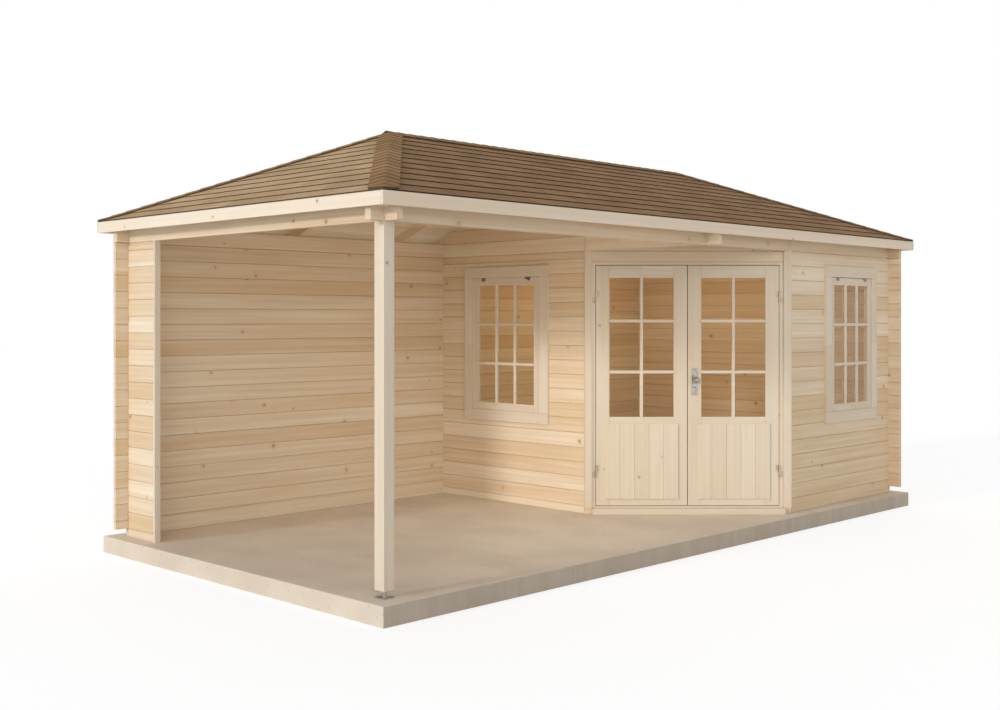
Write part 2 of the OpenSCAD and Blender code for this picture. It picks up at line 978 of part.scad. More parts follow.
module common_rafters() {
    end_from = ridge_x + rafter_d;
    color(wood)
        on_slab()
            difference() {
                intersection() {
                    rafter_layer();
                    union() {
                        for (x = rafter_xs) {
                            translate([x, -roof_w / 2, 0]) cube([rafter_t, roof_w, ridge_z + over]);
                        }
                        for (side = [-1, 1]) {
                            translate([side > 0 ? end_from : -roof_l / 2, -rafter_t / 2, 0])
                                cube([roof_l / 2 - end_from, rafter_t, ridge_z + over]);
                        }
                    }
                }
                plate_room();
                ridge_room();
                for (x = [-1, 1], y = [-1, 1]) hip_band(rafter_t + 2 * fit, x, y);
            }
}

module slope_boards() {
    on_slab()
        intersection() {
            roof_layer(under_cover, under_boards);
            children();
        }
}

module roof_boards() {
    color(planed_wood)
        for (side = [-1, 1]) {
            slope_boards() long_zone(side);
            slope_boards() end_zone(side);
        }
}

module long_fascias() {
    color(planed_wood)
        on_slab()
            for (y = [-roof_w / 2, roof_w / 2 - fascia_t]) {
                translate([-roof_l / 2, y, fascia_z]) cube([roof_l, fascia_t, fascia_h]);
            }
}

module end_fascias() {
    color(planed_wood)
        on_slab()
            for (x = [-roof_l / 2, roof_l / 2 - fascia_t]) {
                translate([x, -roof_w / 2 + fascia_t + fit, fascia_z])
                    cube([fascia_t, roof_w - 2 * fascia_t - 2 * fit, fascia_h]);
            }
}

module roof_covering() {
    color(shingle) on_slab() roof_layer(0, cover_v);
}

module ridge_and_hip_caps() {
    color(shingle)
        on_slab()
            intersection() {
                roof_layer(-cap_v - fit, -fit);
                union() {
                    ridge_band(cap_w, ridge_x);
                    for (x = [-1, 1], y = [-1, 1]) hip_band(cap_w, x, y);
                }
            }
}

concrete_slab();
back_wall();
veranda_end_wall();
cabin_side_wall();
cabin_front_wall();
cabin_right_wall();
cabin_side_gable();
door_header();
corner_strips();
door_jambs();
door_head();
door_sill();
front_plate();
back_plate();
left_plate();
right_plate();
cabin_side_plate();
veranda_post();
post_foot();
veranda_end_trim();
side_window_casing();
side_window_sash();
front_window_casing();
front_window_sash();
window_glass();
floor_bearers();
floor_boards();
ridge_board();
hip_rafters();
common_rafters();
roof_boards();
long_fascias();
end_fascias();
roof_covering();
ridge_and_hip_caps();
frame_hinges();
left_door_leaf();
left_door_panel();
left_door_glass();
left_door_hinges();
right_door_leaf();
right_door_panel();
right_door_glass();
right_door_hinges();
right_door_handles();
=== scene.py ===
"""Looks of the garden house: spruce logs and joinery, a shingled hip roof, a cast slab, glass and ironwork.

Everything is in metres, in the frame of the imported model: +X runs along the front to the room's end, +Y to the
back and +Z up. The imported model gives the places, and each class below dresses one sub-assembly.
"""

import json
import logging
import math
from dataclasses import dataclass, field
from enum import Enum
from functools import lru_cache
from typing import Any, Optional, Sequence, Union

import bmesh
import bpy
from bmesh.types import BMesh
from bpy.types import ID, Material, Mesh, Node, NodeSocket, NodeTree, Object
from mathutils import Euler, Matrix, Vector


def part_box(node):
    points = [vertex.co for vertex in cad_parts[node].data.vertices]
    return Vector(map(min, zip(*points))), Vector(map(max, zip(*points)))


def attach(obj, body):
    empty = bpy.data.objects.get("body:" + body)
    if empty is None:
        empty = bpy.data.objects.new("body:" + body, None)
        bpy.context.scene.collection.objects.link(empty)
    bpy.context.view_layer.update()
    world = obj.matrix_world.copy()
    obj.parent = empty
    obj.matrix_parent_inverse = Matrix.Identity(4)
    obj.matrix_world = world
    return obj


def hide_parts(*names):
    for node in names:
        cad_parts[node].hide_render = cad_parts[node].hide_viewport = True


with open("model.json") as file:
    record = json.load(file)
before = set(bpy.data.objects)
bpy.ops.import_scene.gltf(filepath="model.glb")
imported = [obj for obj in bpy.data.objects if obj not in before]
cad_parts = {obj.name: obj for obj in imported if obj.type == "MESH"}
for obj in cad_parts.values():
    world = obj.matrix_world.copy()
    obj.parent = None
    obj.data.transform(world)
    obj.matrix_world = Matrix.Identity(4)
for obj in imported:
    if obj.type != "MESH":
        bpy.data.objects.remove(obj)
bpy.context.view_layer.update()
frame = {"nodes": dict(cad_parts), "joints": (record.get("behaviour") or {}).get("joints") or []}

LOGGER = logging.getLogger("garden_house")

Colour = tuple[float, float, float, float]
Point2 = tuple[float, float]
Point3 = tuple[float, float, float]
Feed = Union[NodeSocket, ID, float, int, str, bool, Sequence[float]]
Sockets = dict[str, NodeSocket]

FLOAT, VECTOR, COLOUR = "NodeSocketFloat", "NodeSocketVector", "NodeSocketColor"
WHOLE, OBJECT, MATERIAL, GEOMETRY = "NodeSocketInt", "NodeSocketObject", "NodeSocketMaterial", "NodeSocketGeometry"
TONE = "tone"
FACING = "facing"
WHITE: Colour = (1.0, 1.0, 1.0, 1.0)
ORIGIN: Point3 = (0.0, 0.0, 0.0)
UP = Vector((0.0, 0.0, 1.0))
FAR = 50.0
NEARLY_NONE = 1e-6


class Slot(Enum):
    """The record's material slots, which hand_over is given with each piece made here."""

    PLANED_WOOD = "planed_wood"
    DOOR_WOOD = "door_wood"
    STEEL = "steel"
    SHINGLE = "shingle"
    CONCRETE = "concrete"


class Body(Enum):
    """The bodies that pieces ride on."""

    HOUSE = "house"
    LEFT_DOOR = "left_door"
    RIGHT_DOOR = "right_door"


class Grain(Enum):
    """The way that the grain of a wooden piece runs."""

    ALONG_X = "along the front"
    ALONG_Y = "front to back"
    UPRIGHT = "upright"
    ALONG_DOOR = "along the door wall"
    UPRIGHT_DOOR = "upright in the door wall"
    ALONG_HIP = "along the nearest hip"


class Joint(Enum):
    """Which members of a wooden frame run through at its corners."""

    STILES_THROUGH = "uprights run past the rails"
    HEADS_THROUGH = "head and foot run past the uprights"


def node_box(name: str) -> tuple[Vector, Vector]:
    """Returns a CAD node's lowest and highest corner at rest."""
    low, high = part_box(name)
    return Vector(low), Vector(high)


@dataclass(frozen=True)
class DoorWall:
    """The cut-off corner that carries the doors, as a frame of its own.

    Its start is the left hinge's axis. Along runs to the right hinge, and into runs through the wall to the room.
    """

    start: Vector
    along: Vector
    into: Vector
    span: float

    @classmethod
    def from_joints(cls) -> "DoorWall":
        """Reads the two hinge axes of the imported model.

        Returns:
            The frame between them.
        """
        places = {joint["child"]: Vector(joint["pos_m"]) for joint in frame["joints"]}
        left, right = places[Body.LEFT_DOOR.value], places[Body.RIGHT_DOOR.value]
        run = (right - left).to_2d()
        along = run.to_3d().normalized()
        return cls(left.to_2d().to_3d(), along, UP.cross(along), run.length)

    def place(self, along: float, into: float, height: float) -> Vector:
        """Returns the point at those distances along, into and up the wall."""
        return self.start + self.along * along + self.into * into + UP * height


@dataclass(frozen=True)
class HipRoof:
    """The planes of the hip roof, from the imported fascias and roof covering."""

    half_l: float
    half_w: float
    eave_z: float
    ridge_z: float

    @classmethod
    def from_frame(cls) -> "HipRoof":
        """Returns the roof as the imported model gives it."""
        fascia_high = node_box("long_fascias")[1]
        return cls(fascia_high.x, fascia_high.y, fascia_high.z, node_box("roof_covering")[1].z)

    @property
    def pitch(self) -> float:
        """The slopes' angle, in radians."""
        return math.atan2(self.ridge_z - self.eave_z, self.half_w)

    @property
    def slope_l(self) -> float:
        """Length of a slope from eave to ridge."""
        return self.half_w / math.cos(self.pitch)

    @property
    def ridge_half_l(self) -> float:
        """Half the ridge's length."""
        return self.half_l - self.half_w

    def slopes(self) -> list[tuple[str, float, float, float]]:
        """Returns each slope's name, turn about Z, distance from the middle and half length at the eave."""
        quarter = math.pi / 2
        return [("front", 0.0, self.half_w, self.half_l), ("right", quarter, self.half_l, self.half_w),
                ("back", math.pi, self.half_w, self.half_l), ("left", -quarter, self.half_l, self.half_w)]

    def slope_field(self, turn: float, reach: float, half: float) -> dict[str, Any]:
        """Says how rows lie on a slope, between its hips and up to the ridge.

        Args:
            turn: The slope's turn about Z.
            reach: Its eave's distance from the middle.
            half: Half its length at the eave.

        Returns:
            The values that lay_rows takes.
        """
        narrowing = math.cos(self.pitch)
        eave = Matrix.Rotation(turn, 3, "Z") @ Vector((0.0, -reach, self.eave_z))
        return {"top": self.slope_l, "left_cut": -half, "left_slope": narrowing, "right_cut": half,
                "right_slope": -narrowing, "place": eave, "turn": (self.pitch, 0.0, turn)}


DOOR = DoorWall.from_joints()
ROOF = HipRoof.from_frame()
SLAB_TOP = node_box("concrete_slab")[1].z


class Graph:
    """Adds nodes to one tree and joins them."""

    def __init__(self, tree: NodeTree) -> None:
        """Works on the given tree."""
        self.tree = tree

    def add(self, kind: str, feeds: Optional[dict[Union[str, int], Feed]] = None, **settings: Any) -> Node:
        """Adds a node, sets it and feeds its inputs.

        Args:
            kind: The node's type name.
            feeds: What goes into each input, by name or number: a socket or a constant.
            settings: The node's own properties.

        Returns:
            The node.
        """
        node = self.tree.nodes.new(kind)
        for name, value in settings.items():
            setattr(node, name, value)
        for key, feed in (feeds or {}).items():
            if isinstance(key, int):
                inlet = node.inputs[key]
            else:
                inlet = next(s for s in node.inputs if s.name == key and s.enabled)
            self.feed(inlet, feed)
        return node

    def feed(self, inlet: NodeSocket, feed: Feed) -> None:
        """Links a socket to an input, or sets a constant on it.

        Args:
            inlet: The input.
            feed: The socket or constant.
        """
        if isinstance(feed, NodeSocket):
            self.tree.links.new(feed, inlet)
        else:
            inlet.default_value = feed

    @staticmethod
    def result(node: Node) -> NodeSocket:
        """Returns the first output of a node that is in use."""
        return next(s for s in node.outputs if s.enabled)

    def math(self, operation: str, first: Feed, second: Feed = 0.0, third: Feed = 0.5,
             clamp: bool = False) -> NodeSocket:
        """Returns the value of one operation on up to three numbers."""
        feeds = {0: first, 1: second, 2: third}
        return self.add("ShaderNodeMath", feeds, operation=operation, use_clamp=clamp).outputs[0]

    def plus(self, first: Feed, second: Feed, clamp: bool = False) -> NodeSocket:
        """Returns the sum of two numbers."""
        return self.math("ADD", first, second, clamp=clamp)

    def minus(self, first: Feed, second: Feed) -> NodeSocket:
        """Returns the first number less the second."""
        return self.math("SUBTRACT", first, second)

    def times(self, first: Feed, second: Feed) -> NodeSocket:
        """Returns the product of two numbers."""
        return self.math("MULTIPLY", first, second)

    def size(self, value: Feed) -> NodeSocket:
        """Returns a number without its sign."""
        return self.math("ABSOLUTE", value)

    def vector(self, operation: str, first: Feed, second: Feed) -> NodeSocket:
        """Returns the vector of one operation on two vectors."""
        return self.add("ShaderNodeVectorMath", {0: first, 1: second}, operation=operation).outputs["Vector"]

    def dot(self, first: Feed, second: Feed) -> NodeSocket:
        """Returns the dot product of two vectors."""
        return self.add("ShaderNodeVectorMath", {0: first, 1: second}, operation="DOT_PRODUCT").outputs["Value"]

    def combine(self, x: Feed, y: Feed, z: Feed) -> NodeSocket:
        """Returns a vector from three numbers."""
        return self.add("ShaderNodeCombineXYZ", {"X": x, "Y": y, "Z": z}).outputs[0]

    def split(self, vector: Feed) -> tuple[NodeSocket, ...]:
        """Returns the three numbers of a vector."""
        return tuple(self.add("ShaderNodeSeparateXYZ", {0: vector}).outputs)

    def ramp(self, value: Feed, low: Feed, high: Feed, start: Feed = 0.0, end: Feed = 1.0) -> NodeSocket:
        """Returns a value that eases from start at low to end at high, and holds outside."""
        feeds = {"Value": value, "From Min": low, "From Max": high, "To Min": start, "To Max": end}
        return self.add("ShaderNodeMapRange", feeds, interpolation_type="SMOOTHSTEP").outputs["Result"]

    def mix(self, kind: str, factor: Feed, first: Feed, second: Feed) -> NodeSocket:
        """Returns the mix of two values of a kind."""
        return self.result(self.add("ShaderNodeMix", {"Factor": factor, "A": first, "B": second}, data_type=kind))

    def tint(self, factor: Feed, first: Feed, second: Feed) -> NodeSocket:
        """Returns the mix of two colours."""
        return self.mix("RGBA", factor, first, second)

    def choose(self, factor: Feed, first: Feed, second: Feed) -> NodeSocket:
        """Returns the first vector where the factor is 0 and the second where it is 1."""
        return self.mix("VECTOR", factor, first, second)

    def noise(self, place: Feed, scale: Feed, detail: float = 2.0, rough: float = 0.55) -> NodeSocket:
        """Returns fractal noise from 0 to 1."""
        feeds = {"Vector": place, "Scale": scale, "Detail": detail, "Roughness": rough}
        return self.add("ShaderNodeTexNoise", feeds).outputs[0]

    def stretched_noise(self, place: Feed, stretch: Point3, detail: float = 2.0, rough: float = 0.55) -> NodeSocket:
        """Returns noise with a scale of its own along each way."""
        return self.noise(self.vector("MULTIPLY", place, stretch), 1.0, detail, rough)

    def place(self) -> NodeSocket:
        """Returns the place on a piece, in the house's frame."""
        return self.add("ShaderNodeTexCoord").outputs["Object"]

    def normal(self) -> NodeSocket:
        """Returns the way that the surface faces."""
        return self.add("ShaderNodeNewGeometry").outputs["Normal"]

    def lot(self) -> NodeSocket:
        """Returns the lot number that a laid piece carries, from 0 to 1."""
        return self.add("ShaderNodeAttribute", attribute_name=TONE).outputs["Fac"]

    def group(self, tree: NodeTree, feeds: dict[str, Feed]) -> bpy.types.NodeOutputs:
        """Returns the outputs of a shader group with those feeds."""
        return self.add("ShaderNodeGroup", feeds, node_tree=tree).outputs

    def bumped(self, height: Feed, relief: Point2, feeds: dict[str, Feed]) -> NodeSocket:
        """Adds a Principled surface with a relief.

        Args:
            height: The relief's height.
            relief: Its strength, and its depth in metres.
            feeds: The surface's other inputs.

        Returns:
            The surface.
        """
        bump = self.add("ShaderNodeBump", {"Strength": relief[0], "Distance": relief[1], "Height": height})
        return self.add("ShaderNodeBsdfPrincipled", {**feeds, "Normal": bump.outputs[0]}).outputs[0]

    def cover(self, shader: NodeSocket) -> None:
        """Makes a shader the material's surface."""
        self.add("ShaderNodeOutputMaterial", {"Surface": shader})

    def random(self, low: float, high: float, seed: Feed) -> NodeSocket:
        """Returns a random number for each point or instance of a geometry."""
        return self.result(self.add("FunctionNodeRandomValue", {"Min": low, "Max": high, "Seed": seed}))

    def rotation(self, angles: Feed) -> NodeSocket:
        """Returns the rotation by three angles."""
        return self.add("FunctionNodeEulerToRotation", {0: angles}).outputs[0]


def open_tree(kind: str, name: str, inlets: dict[str, tuple[str, Optional[Feed]]],
              outlets: dict[str, str]) -> tuple[Graph, Sockets, Sockets]:
    """Starts a node group.

    Args:
        kind: The tree's type name.
        name: The group's name.
        inlets: Each input's name, with its socket type and its usual value, if it has one.
        outlets: Each output's name, with its socket type.

    Returns:
        The group's graph, its inner sockets for the inputs by name, and those for the outputs.
    """
    tree = bpy.data.node_groups.new(name, kind)
    for inlet, (socket_type, usual) in inlets.items():
        socket = tree.interface.new_socket(inlet, in_out="INPUT", socket_type=socket_type)
        if usual is not None:
            socket.default_value = usual
    for outlet, socket_type in outlets.items():
        tree.interface.new_socket(outlet, in_out="OUTPUT", socket_type=socket_type)
    graph = Graph(tree)
    given = {s.name: s for s in graph.add("NodeGroupInput").outputs if s.name}
    wanted = {s.name: s for s in graph.add("NodeGroupOutput").inputs if s.name}
    return graph, given, wanted


@lru_cache(maxsize=None)
def spruce_figure() -> NodeTree:
    """Builds the figure of planed spruce: year rings, streaks, knots and a tone for each board.

    Returns:
        The group. Its Place has the grain along X, the width of the board along Y and its depth along Z.
    """
    g, given, wanted = open_tree(
        "ShaderNodeTree", "spruce_figure",
        {"Place": (VECTOR, ORIGIN), "Board": (FLOAT, 0.0), "Light": (COLOUR, WHITE), "Dark": (COLOUR, WHITE),
         "Knot": (COLOUR, WHITE), "Knot Size": (FLOAT, 0.016), "Ring Width": (FLOAT, 0.006)},
        {"Color": COLOUR, "Roughness": FLOAT, "Height": FLOAT})
    board_spread = (41.0, 7.0, 3.0)
    drift_scale, streak_scale, fibre_scale = (0.9, 9.0, 9.0), (0.6, 34.0, 34.0), (4.0, 240.0, 240.0)
    knots_per_m = 2.9

    lot = g.add("ShaderNodeTexWhiteNoise", {"W": given["Board"]}, noise_dimensions="1D")
    red, green, blue = g.add("ShaderNodeSeparateColor", {0: lot.outputs["Color"]}).outputs
    shift = g.vector("MULTIPLY", g.combine(red, green, blue), board_spread)
    place = g.vector("ADD", given["Place"], shift)
    drift = g.stretched_noise(place, drift_scale, 3.0)
    streak = g.stretched_noise(place, streak_scale, 3.0)
    fibre = g.stretched_noise(place, fibre_scale)

    knots = g.add("ShaderNodeTexVoronoi", {"Vector": place, "Scale": knots_per_m}, voronoi_dimensions="2D")
    chance = g.add("ShaderNodeSeparateColor", {0: knots.outputs["Color"]}).outputs[0]
    radius = g.times(g.ramp(chance, 0.35, 1.0), given["Knot Size"])
    reach = g.math("DIVIDE", knots.outputs["Distance"], knots_per_m)
    knot = g.ramp(reach, g.times(radius, 1.2), g.times(radius, 0.55))
    halo = g.ramp(reach, g.times(radius, 3.4), g.times(radius, 0.8))

    _, width, depth = g.split(given["Place"])
    wander = g.math("MULTIPLY_ADD", drift, 0.05, 0.5)
    aside = g.plus(g.plus(width, wander), g.times(green, 0.09))
    aside = g.plus(g.math("WRAP", aside, 0.12, 0.5), g.times(halo, 0.007))
    behind = g.plus(g.math("PINGPONG", depth, 0.2), g.times(blue, 0.05))
    pith = g.math("SQRT", g.plus(g.times(aside, aside), g.times(behind, behind)))
    late = g.math("POWER", g.math("FRACT", g.math("DIVIDE", pith, given["Ring Width"])), 2.2)

    tone = g.math("MULTIPLY_ADD", g.minus(lot.outputs["Value"], 0.5), 0.42, 0.5)
    share = g.plus(g.plus(streak, g.times(late, 0.25)), g.times(drift, 0.6))
    share = g.plus(g.minus(share, 0.68), tone, clamp=True)
    wood = g.tint(share, given["Light"], given["Dark"])
    wood = g.tint(g.times(halo, 0.5), wood, given["Dark"])
    knot_depth = g.ramp(green, 0.0, 1.0, 0.2, 0.65)
    g.feed(wanted["Color"], g.tint(g.times(knot, knot_depth), wood, given["Knot"]))
    g.feed(wanted["Roughness"], g.ramp(g.plus(fibre, share), 0.2, 1.4, 0.5, 0.72))
    height = g.plus(g.times(fibre, 0.6), g.times(late, 0.4))
    g.feed(wanted["Height"], g.minus(height, g.times(knot, 0.5)))
    return g.tree


@lru_cache(maxsize=None)
def grit() -> NodeTree:
    """Builds the grit of a mineral surface: grains of two tones and a soft patchiness.

    Returns:
        The group, with the grains as a mask and a height, and the patches as a mask.
    """
    g, given, wanted = open_tree(
        "ShaderNodeTree", "grit",
        {"Place": (VECTOR, ORIGIN), "Grains": (FLOAT, 300.0), "Patches": (FLOAT, 4.0)},
        {"Grain": FLOAT, "Patch": FLOAT, "Height": FLOAT})
    cells = g.add("ShaderNodeTexVoronoi", {"Vector": given["Place"], "Scale": given["Grains"]})
    g.feed(wanted["Grain"], g.add("ShaderNodeSeparateColor", {0: cells.outputs["Color"]}).outputs[0])
    patch = g.noise(given["Place"], given["Patches"], 4.0, 0.5)
    g.feed(wanted["Patch"], g.ramp(patch, 0.3, 0.7))
    g.feed(wanted["Height"], g.minus(1.0, cells.outputs["Distance"]))
    return g.tree


def new_material(name: str) -> tuple[Material, Graph]:
    """Starts a material.

    Args:
        name: Its name.

    Returns:
        The material and its empty graph.
    """
    material = bpy.data.materials.new(name)
    material.use_nodes = True
    material.node_tree.nodes.clear()
    return material, Graph(material.node_tree)


TRIM_LIGHT: Colour = (0.79, 0.715, 0.60, 1.0)
TRIM_DARK: Colour = (0.69, 0.57, 0.425, 1.0)
TRIM_KNOT = 0.011
LAYERS_PER_M = 1.7
LAYER_STEP = 17.3
RAILS_PER_M = 2.3
RAIL_STEP = 5.0
STILE_STEP = 11.0
LOT_SPREAD = 913.0


@dataclass(frozen=True)
class Spruce:
    """Planed spruce with its grain along one way of the house.

    A row height gives every log of a wall its own tone, from row_start up. A joint_shade_half darkens a band over each
    joint of the rows: painted shade in the grooves between the logs.
    """

    name: str
    grain: Grain
    light: Colour = (0.90, 0.815, 0.665, 1.0)
    dark: Colour = (0.69, 0.505, 0.31, 1.0)
    knot: Colour = (0.26, 0.12, 0.05, 1.0)
    row_height: float = 0.3
    row_start: float = 0.0
    knot_size: float = 0.015
    ring_width: float = 0.006
    joint_shade_half: float = 0.0
    seam_depth: float = 0.22
    ends_show: bool = True
    end_depth: float = 0.15
    specular: float = 0.3
    relief: Point2 = (0.35, 0.0015)

    def ways(self, g: Graph, place: NodeSocket) -> tuple[NodeSocket, NodeSocket, NodeSocket]:
        """Measures a place by the way that the grain runs.

        Args:
            g: The material's graph.
            place: The place in the house's frame.

        Returns:
            The distances along the grain, across the board and through it.
        """
        x, y, z = g.split(place)
        if self.grain is Grain.ALONG_HIP:
            side, end = g.size(x), g.size(y)
            return g.plus(side, end), g.minus(side, end), z
        if self.grain in (Grain.ALONG_DOOR, Grain.UPRIGHT_DOOR):
            x, y = g.dot(place, DOOR.along), g.dot(place, DOOR.into)
        if self.grain in (Grain.UPRIGHT, Grain.UPRIGHT_DOOR):
            return z, x, y
        return (y, z, x) if self.grain is Grain.ALONG_Y else (x, z, y)

    def lay(self, g: Graph, place: NodeSocket) -> tuple[NodeSocket, NodeSocket]:
        """Turns a place on the house into one along the grain.

        Args:
            g: The material's graph.
            place: The place in the house's frame.

        Returns:
            The place along the grain, and the number of the board.
        """
        along, across, through = self.ways(g, place)
        row = g.math("FLOOR", g.math("DIVIDE", g.minus(across, self.row_start), self.row_height))
        layer = g.math("FLOOR", g.times(through, LAYERS_PER_M))
        return g.combine(along, across, through), g.plus(row, g.times(layer, LAYER_STEP))

    def end_mask(self, g: Graph) -> NodeSocket:
        """Returns a mask that is 1 on the sawn ends."""
        ways = {Grain.ALONG_X: (1.0, 0.0, 0.0), Grain.ALONG_Y: (0.0, 1.0, 0.0), Grain.ALONG_DOOR: DOOR.along}
        return g.ramp(g.size(g.dot(g.normal(), ways.get(self.grain, UP))), 0.75, 0.9)

    def seam(self, g: Graph) -> Optional[NodeSocket]:
        """Draws dark bands over the joints of the logs: painted shade in their grooves.

        Args:
            g: The material's graph.

        Returns:
            A mask of the lines, or nothing for a finish that has none.
        """
        if self.joint_shade_half <= 0.0:
            return None
        height = g.minus(g.split(g.place())[2], self.row_start)
        return g.ramp(g.math("PINGPONG", height, self.row_height / 2), self.joint_shade_half, self.joint_shade_half * 0.3)

    def build(self) -> Material:
        """Builds the finish from the figure, the sawn ends and the seams.

        Returns:
            The material.
        """
        material, g = new_material(self.name)
        place, board = self.lay(g, g.place())
        figure = g.group(spruce_figure(), {
            "Place": place, "Board": board, "Light": self.light, "Dark": self.dark, "Knot": self.knot,
            "Knot Size": self.knot_size, "Ring Width": self.ring_width})
        colour = figure["Color"]
        if self.ends_show:
            colour = g.tint(g.times(self.end_mask(g), self.end_depth), colour, self.dark)
        seam = self.seam(g)
        if seam is not None:
            # On logs this darkening is painted shade in the grooves between them; on frames it is the joint's dark
            # line.
            colour = g.tint(g.times(seam, self.seam_depth), colour, self.knot)
        g.cover(g.bumped(figure["Height"], self.relief, {
            "Base Color": colour, "Roughness": figure["Roughness"], "Specular IOR Level": self.specular}))
        return material


@dataclass(frozen=True)
class BoardSpruce(Spruce):
    """Spruce boards that carry their own lot number, so that each has its own tone and figure."""

    ends_show: bool = False

    def lay(self, g: Graph, place: NodeSocket) -> tuple[NodeSocket, NodeSocket]:
        """As for Spruce, with the board's number from the piece."""
        return g.combine(*self.ways(g, place)), g.times(g.lot(), LOT_SPREAD)


@dataclass(frozen=True)
class FramedSpruce(Spruce):
    """A frame of stiles and rails: the grain follows each member, and a fine line marks where they meet.

    The row_start is the frame's own lot, so that frames differ.
    """

    centre: Vector = field(default_factory=Vector)
    across: Vector = field(default_factory=Vector)
    half_open: float = 0.3
    joint: Joint = Joint.STILES_THROUGH
    line_half: float = 0.0009
    seam_depth: float = 0.6
    ends_show: bool = False

    def lay(self, g: Graph, place: NodeSocket) -> tuple[NodeSocket, NodeSocket]:
        """Turns a place on the frame into one along the grain of its member.

        Args:
            g: The material's graph.
            place: The place in the house's frame.

        Returns:
            The place along the grain, and the number of the member.
        """
        middle = g.vector("SUBTRACT", place, self.centre)
        side, up = g.dot(middle, self.across), g.split(middle)[2]
        depth = g.dot(middle, UP.cross(self.across))
        upright, level = g.combine(up, side, depth), g.combine(side, up, depth)
        if self.joint is Joint.STILES_THROUGH:
            measured, through, between = side, upright, level
            number = g.math("FLOOR", g.times(up, RAILS_PER_M))
        else:
            measured, through, between = up, level, upright
            number = g.math("SIGN", side)
        outside = g.math("GREATER_THAN", g.size(measured), self.half_open)
        lot = g.plus(g.times(g.math("SIGN", measured), RAIL_STEP), g.times(outside, STILE_STEP))
        inside = g.times(g.minus(1.0, outside), number)
        return g.choose(outside, between, through), g.plus(lot, g.plus(inside, self.row_start))

    def seam(self, g: Graph) -> Optional[NodeSocket]:
        """Draws the lines on the frame's faces between stiles and rails.

        Args:
            g: The material's graph.

        Returns:
            A mask of the lines.
        """
        through = self.across if self.joint is Joint.STILES_THROUGH else UP
        place = g.vector("SUBTRACT", g.place(), self.centre)
        away = g.size(g.minus(g.size(g.dot(place, through)), self.half_open))
        line = g.ramp(away, self.line_half * 1.5, self.line_half * 0.5)
        return g.times(line, g.math("LESS_THAN", g.size(g.dot(g.normal(), through)), 0.5))


@dataclass(frozen=True)
class Shingle:
    """Felt shingles with mineral grains, dark on their cut edges."""

    name: str
    light: Colour = (0.376, 0.222, 0.108, 1.0)
    dark: Colour = (0.188, 0.101, 0.044, 1.0)
    edge: Colour = (0.042, 0.028, 0.016, 1.0)
    grains_per_m: float = 420.0
    patches_per_m: float = 3.5
    roughness: float = 0.9
    specular: float = 0.2
    relief: Point2 = (0.6, 0.0015)

    def build(self) -> Material:
        """Builds the finish from its grains, the shingles' lots and the cut edges.

        Returns:
            The material.
        """
        material, g = new_material(self.name)
        grains = g.group(grit(), {"Place": g.place(), "Grains": self.grains_per_m, "Patches": self.patches_per_m})
        share = g.plus(g.times(grains["Grain"], 0.45), g.times(g.lot(), 0.35))
        share = g.plus(share, g.times(grains["Patch"], 0.25), clamp=True)
        upward = g.split(g.normal())[2]
        colour = g.tint(g.ramp(upward, 0.55, 0.75), self.edge, g.tint(share, self.light, self.dark))
        g.cover(g.bumped(grains["Height"], self.relief, {
            "Base Color": colour, "Roughness": self.roughness, "Specular IOR Level": self.specular}))
        return material


@dataclass(frozen=True)
class CastConcrete:
    """Concrete cast in boards: pores, blotches, and water streaks down its long sides, which also take a darker tint
    all over that is painted shade.
    """

    name: str
    light: Colour = (0.93, 0.835, 0.705, 1.0)
    dark: Colour = (0.66, 0.565, 0.455, 1.0)
    # The colour that the sides are tinted towards, as painted shade.
    damp_and_shade: Colour = (0.30, 0.25, 0.20, 1.0)
    pore: Colour = (0.12, 0.10, 0.08, 1.0)
    grains_per_m: float = 220.0
    patches_per_m: float = 2.2
    pores_per_m: float = 46.0
    streak_scale: Point3 = (9.0, 9.0, 0.8)
    specular: float = 0.3
    relief: Point2 = (0.5, 0.002)

    def build(self) -> Material:
        """Builds the finish from its grains, streaks and pores, and a darker tint on its sides that is painted shade.

        Returns:
            The material.
        """
        material, g = new_material(self.name)
        place = g.place()
        grains = g.group(grit(), {"Place": place, "Grains": self.grains_per_m, "Patches": self.patches_per_m})
        _, frontal, upward = g.split(g.normal())
        side = g.ramp(upward, 0.7, 0.3)
        long_side = g.ramp(g.size(frontal), 0.5, 0.8)
        streak = g.times(g.ramp(g.stretched_noise(place, self.streak_scale, 4.0, 0.65), 0.42, 0.72), long_side)
        share = g.math("MULTIPLY_ADD", grains["Patch"], 0.3, 0.5)
        share = g.plus(share, g.times(grains["Grain"], 0.18))
        share = g.plus(share, g.times(streak, 0.55), clamp=True)
        holes = g.add("ShaderNodeTexVoronoi", {"Vector": place, "Scale": self.pores_per_m})
        chance = g.add("ShaderNodeSeparateColor", {0: holes.outputs["Color"]}).outputs[1]
        pore = g.times(g.ramp(holes.outputs["Distance"], 0.16, 0.08), g.math("GREATER_THAN", chance, 0.72))
        # Painted shade: the long front and back sides are tinted much darker, every side a little darker than the top;
        # the streaks there are partly dirt, partly painted shade.
        soil_and_shade = g.plus(g.times(side, 0.08), g.times(long_side, 0.42))
        colour = g.tint(soil_and_shade, g.tint(share, self.light, self.dark), self.damp_and_shade)
        g.cover(g.bumped(g.minus(g.times(grains["Height"], 0.3), pore), self.relief, {
            "Base Color": g.tint(pore, colour, self.pore), "Roughness": g.ramp(share, 0.0, 1.0, 0.75, 0.92),
            "Specular IOR Level": self.specular}))
        return material


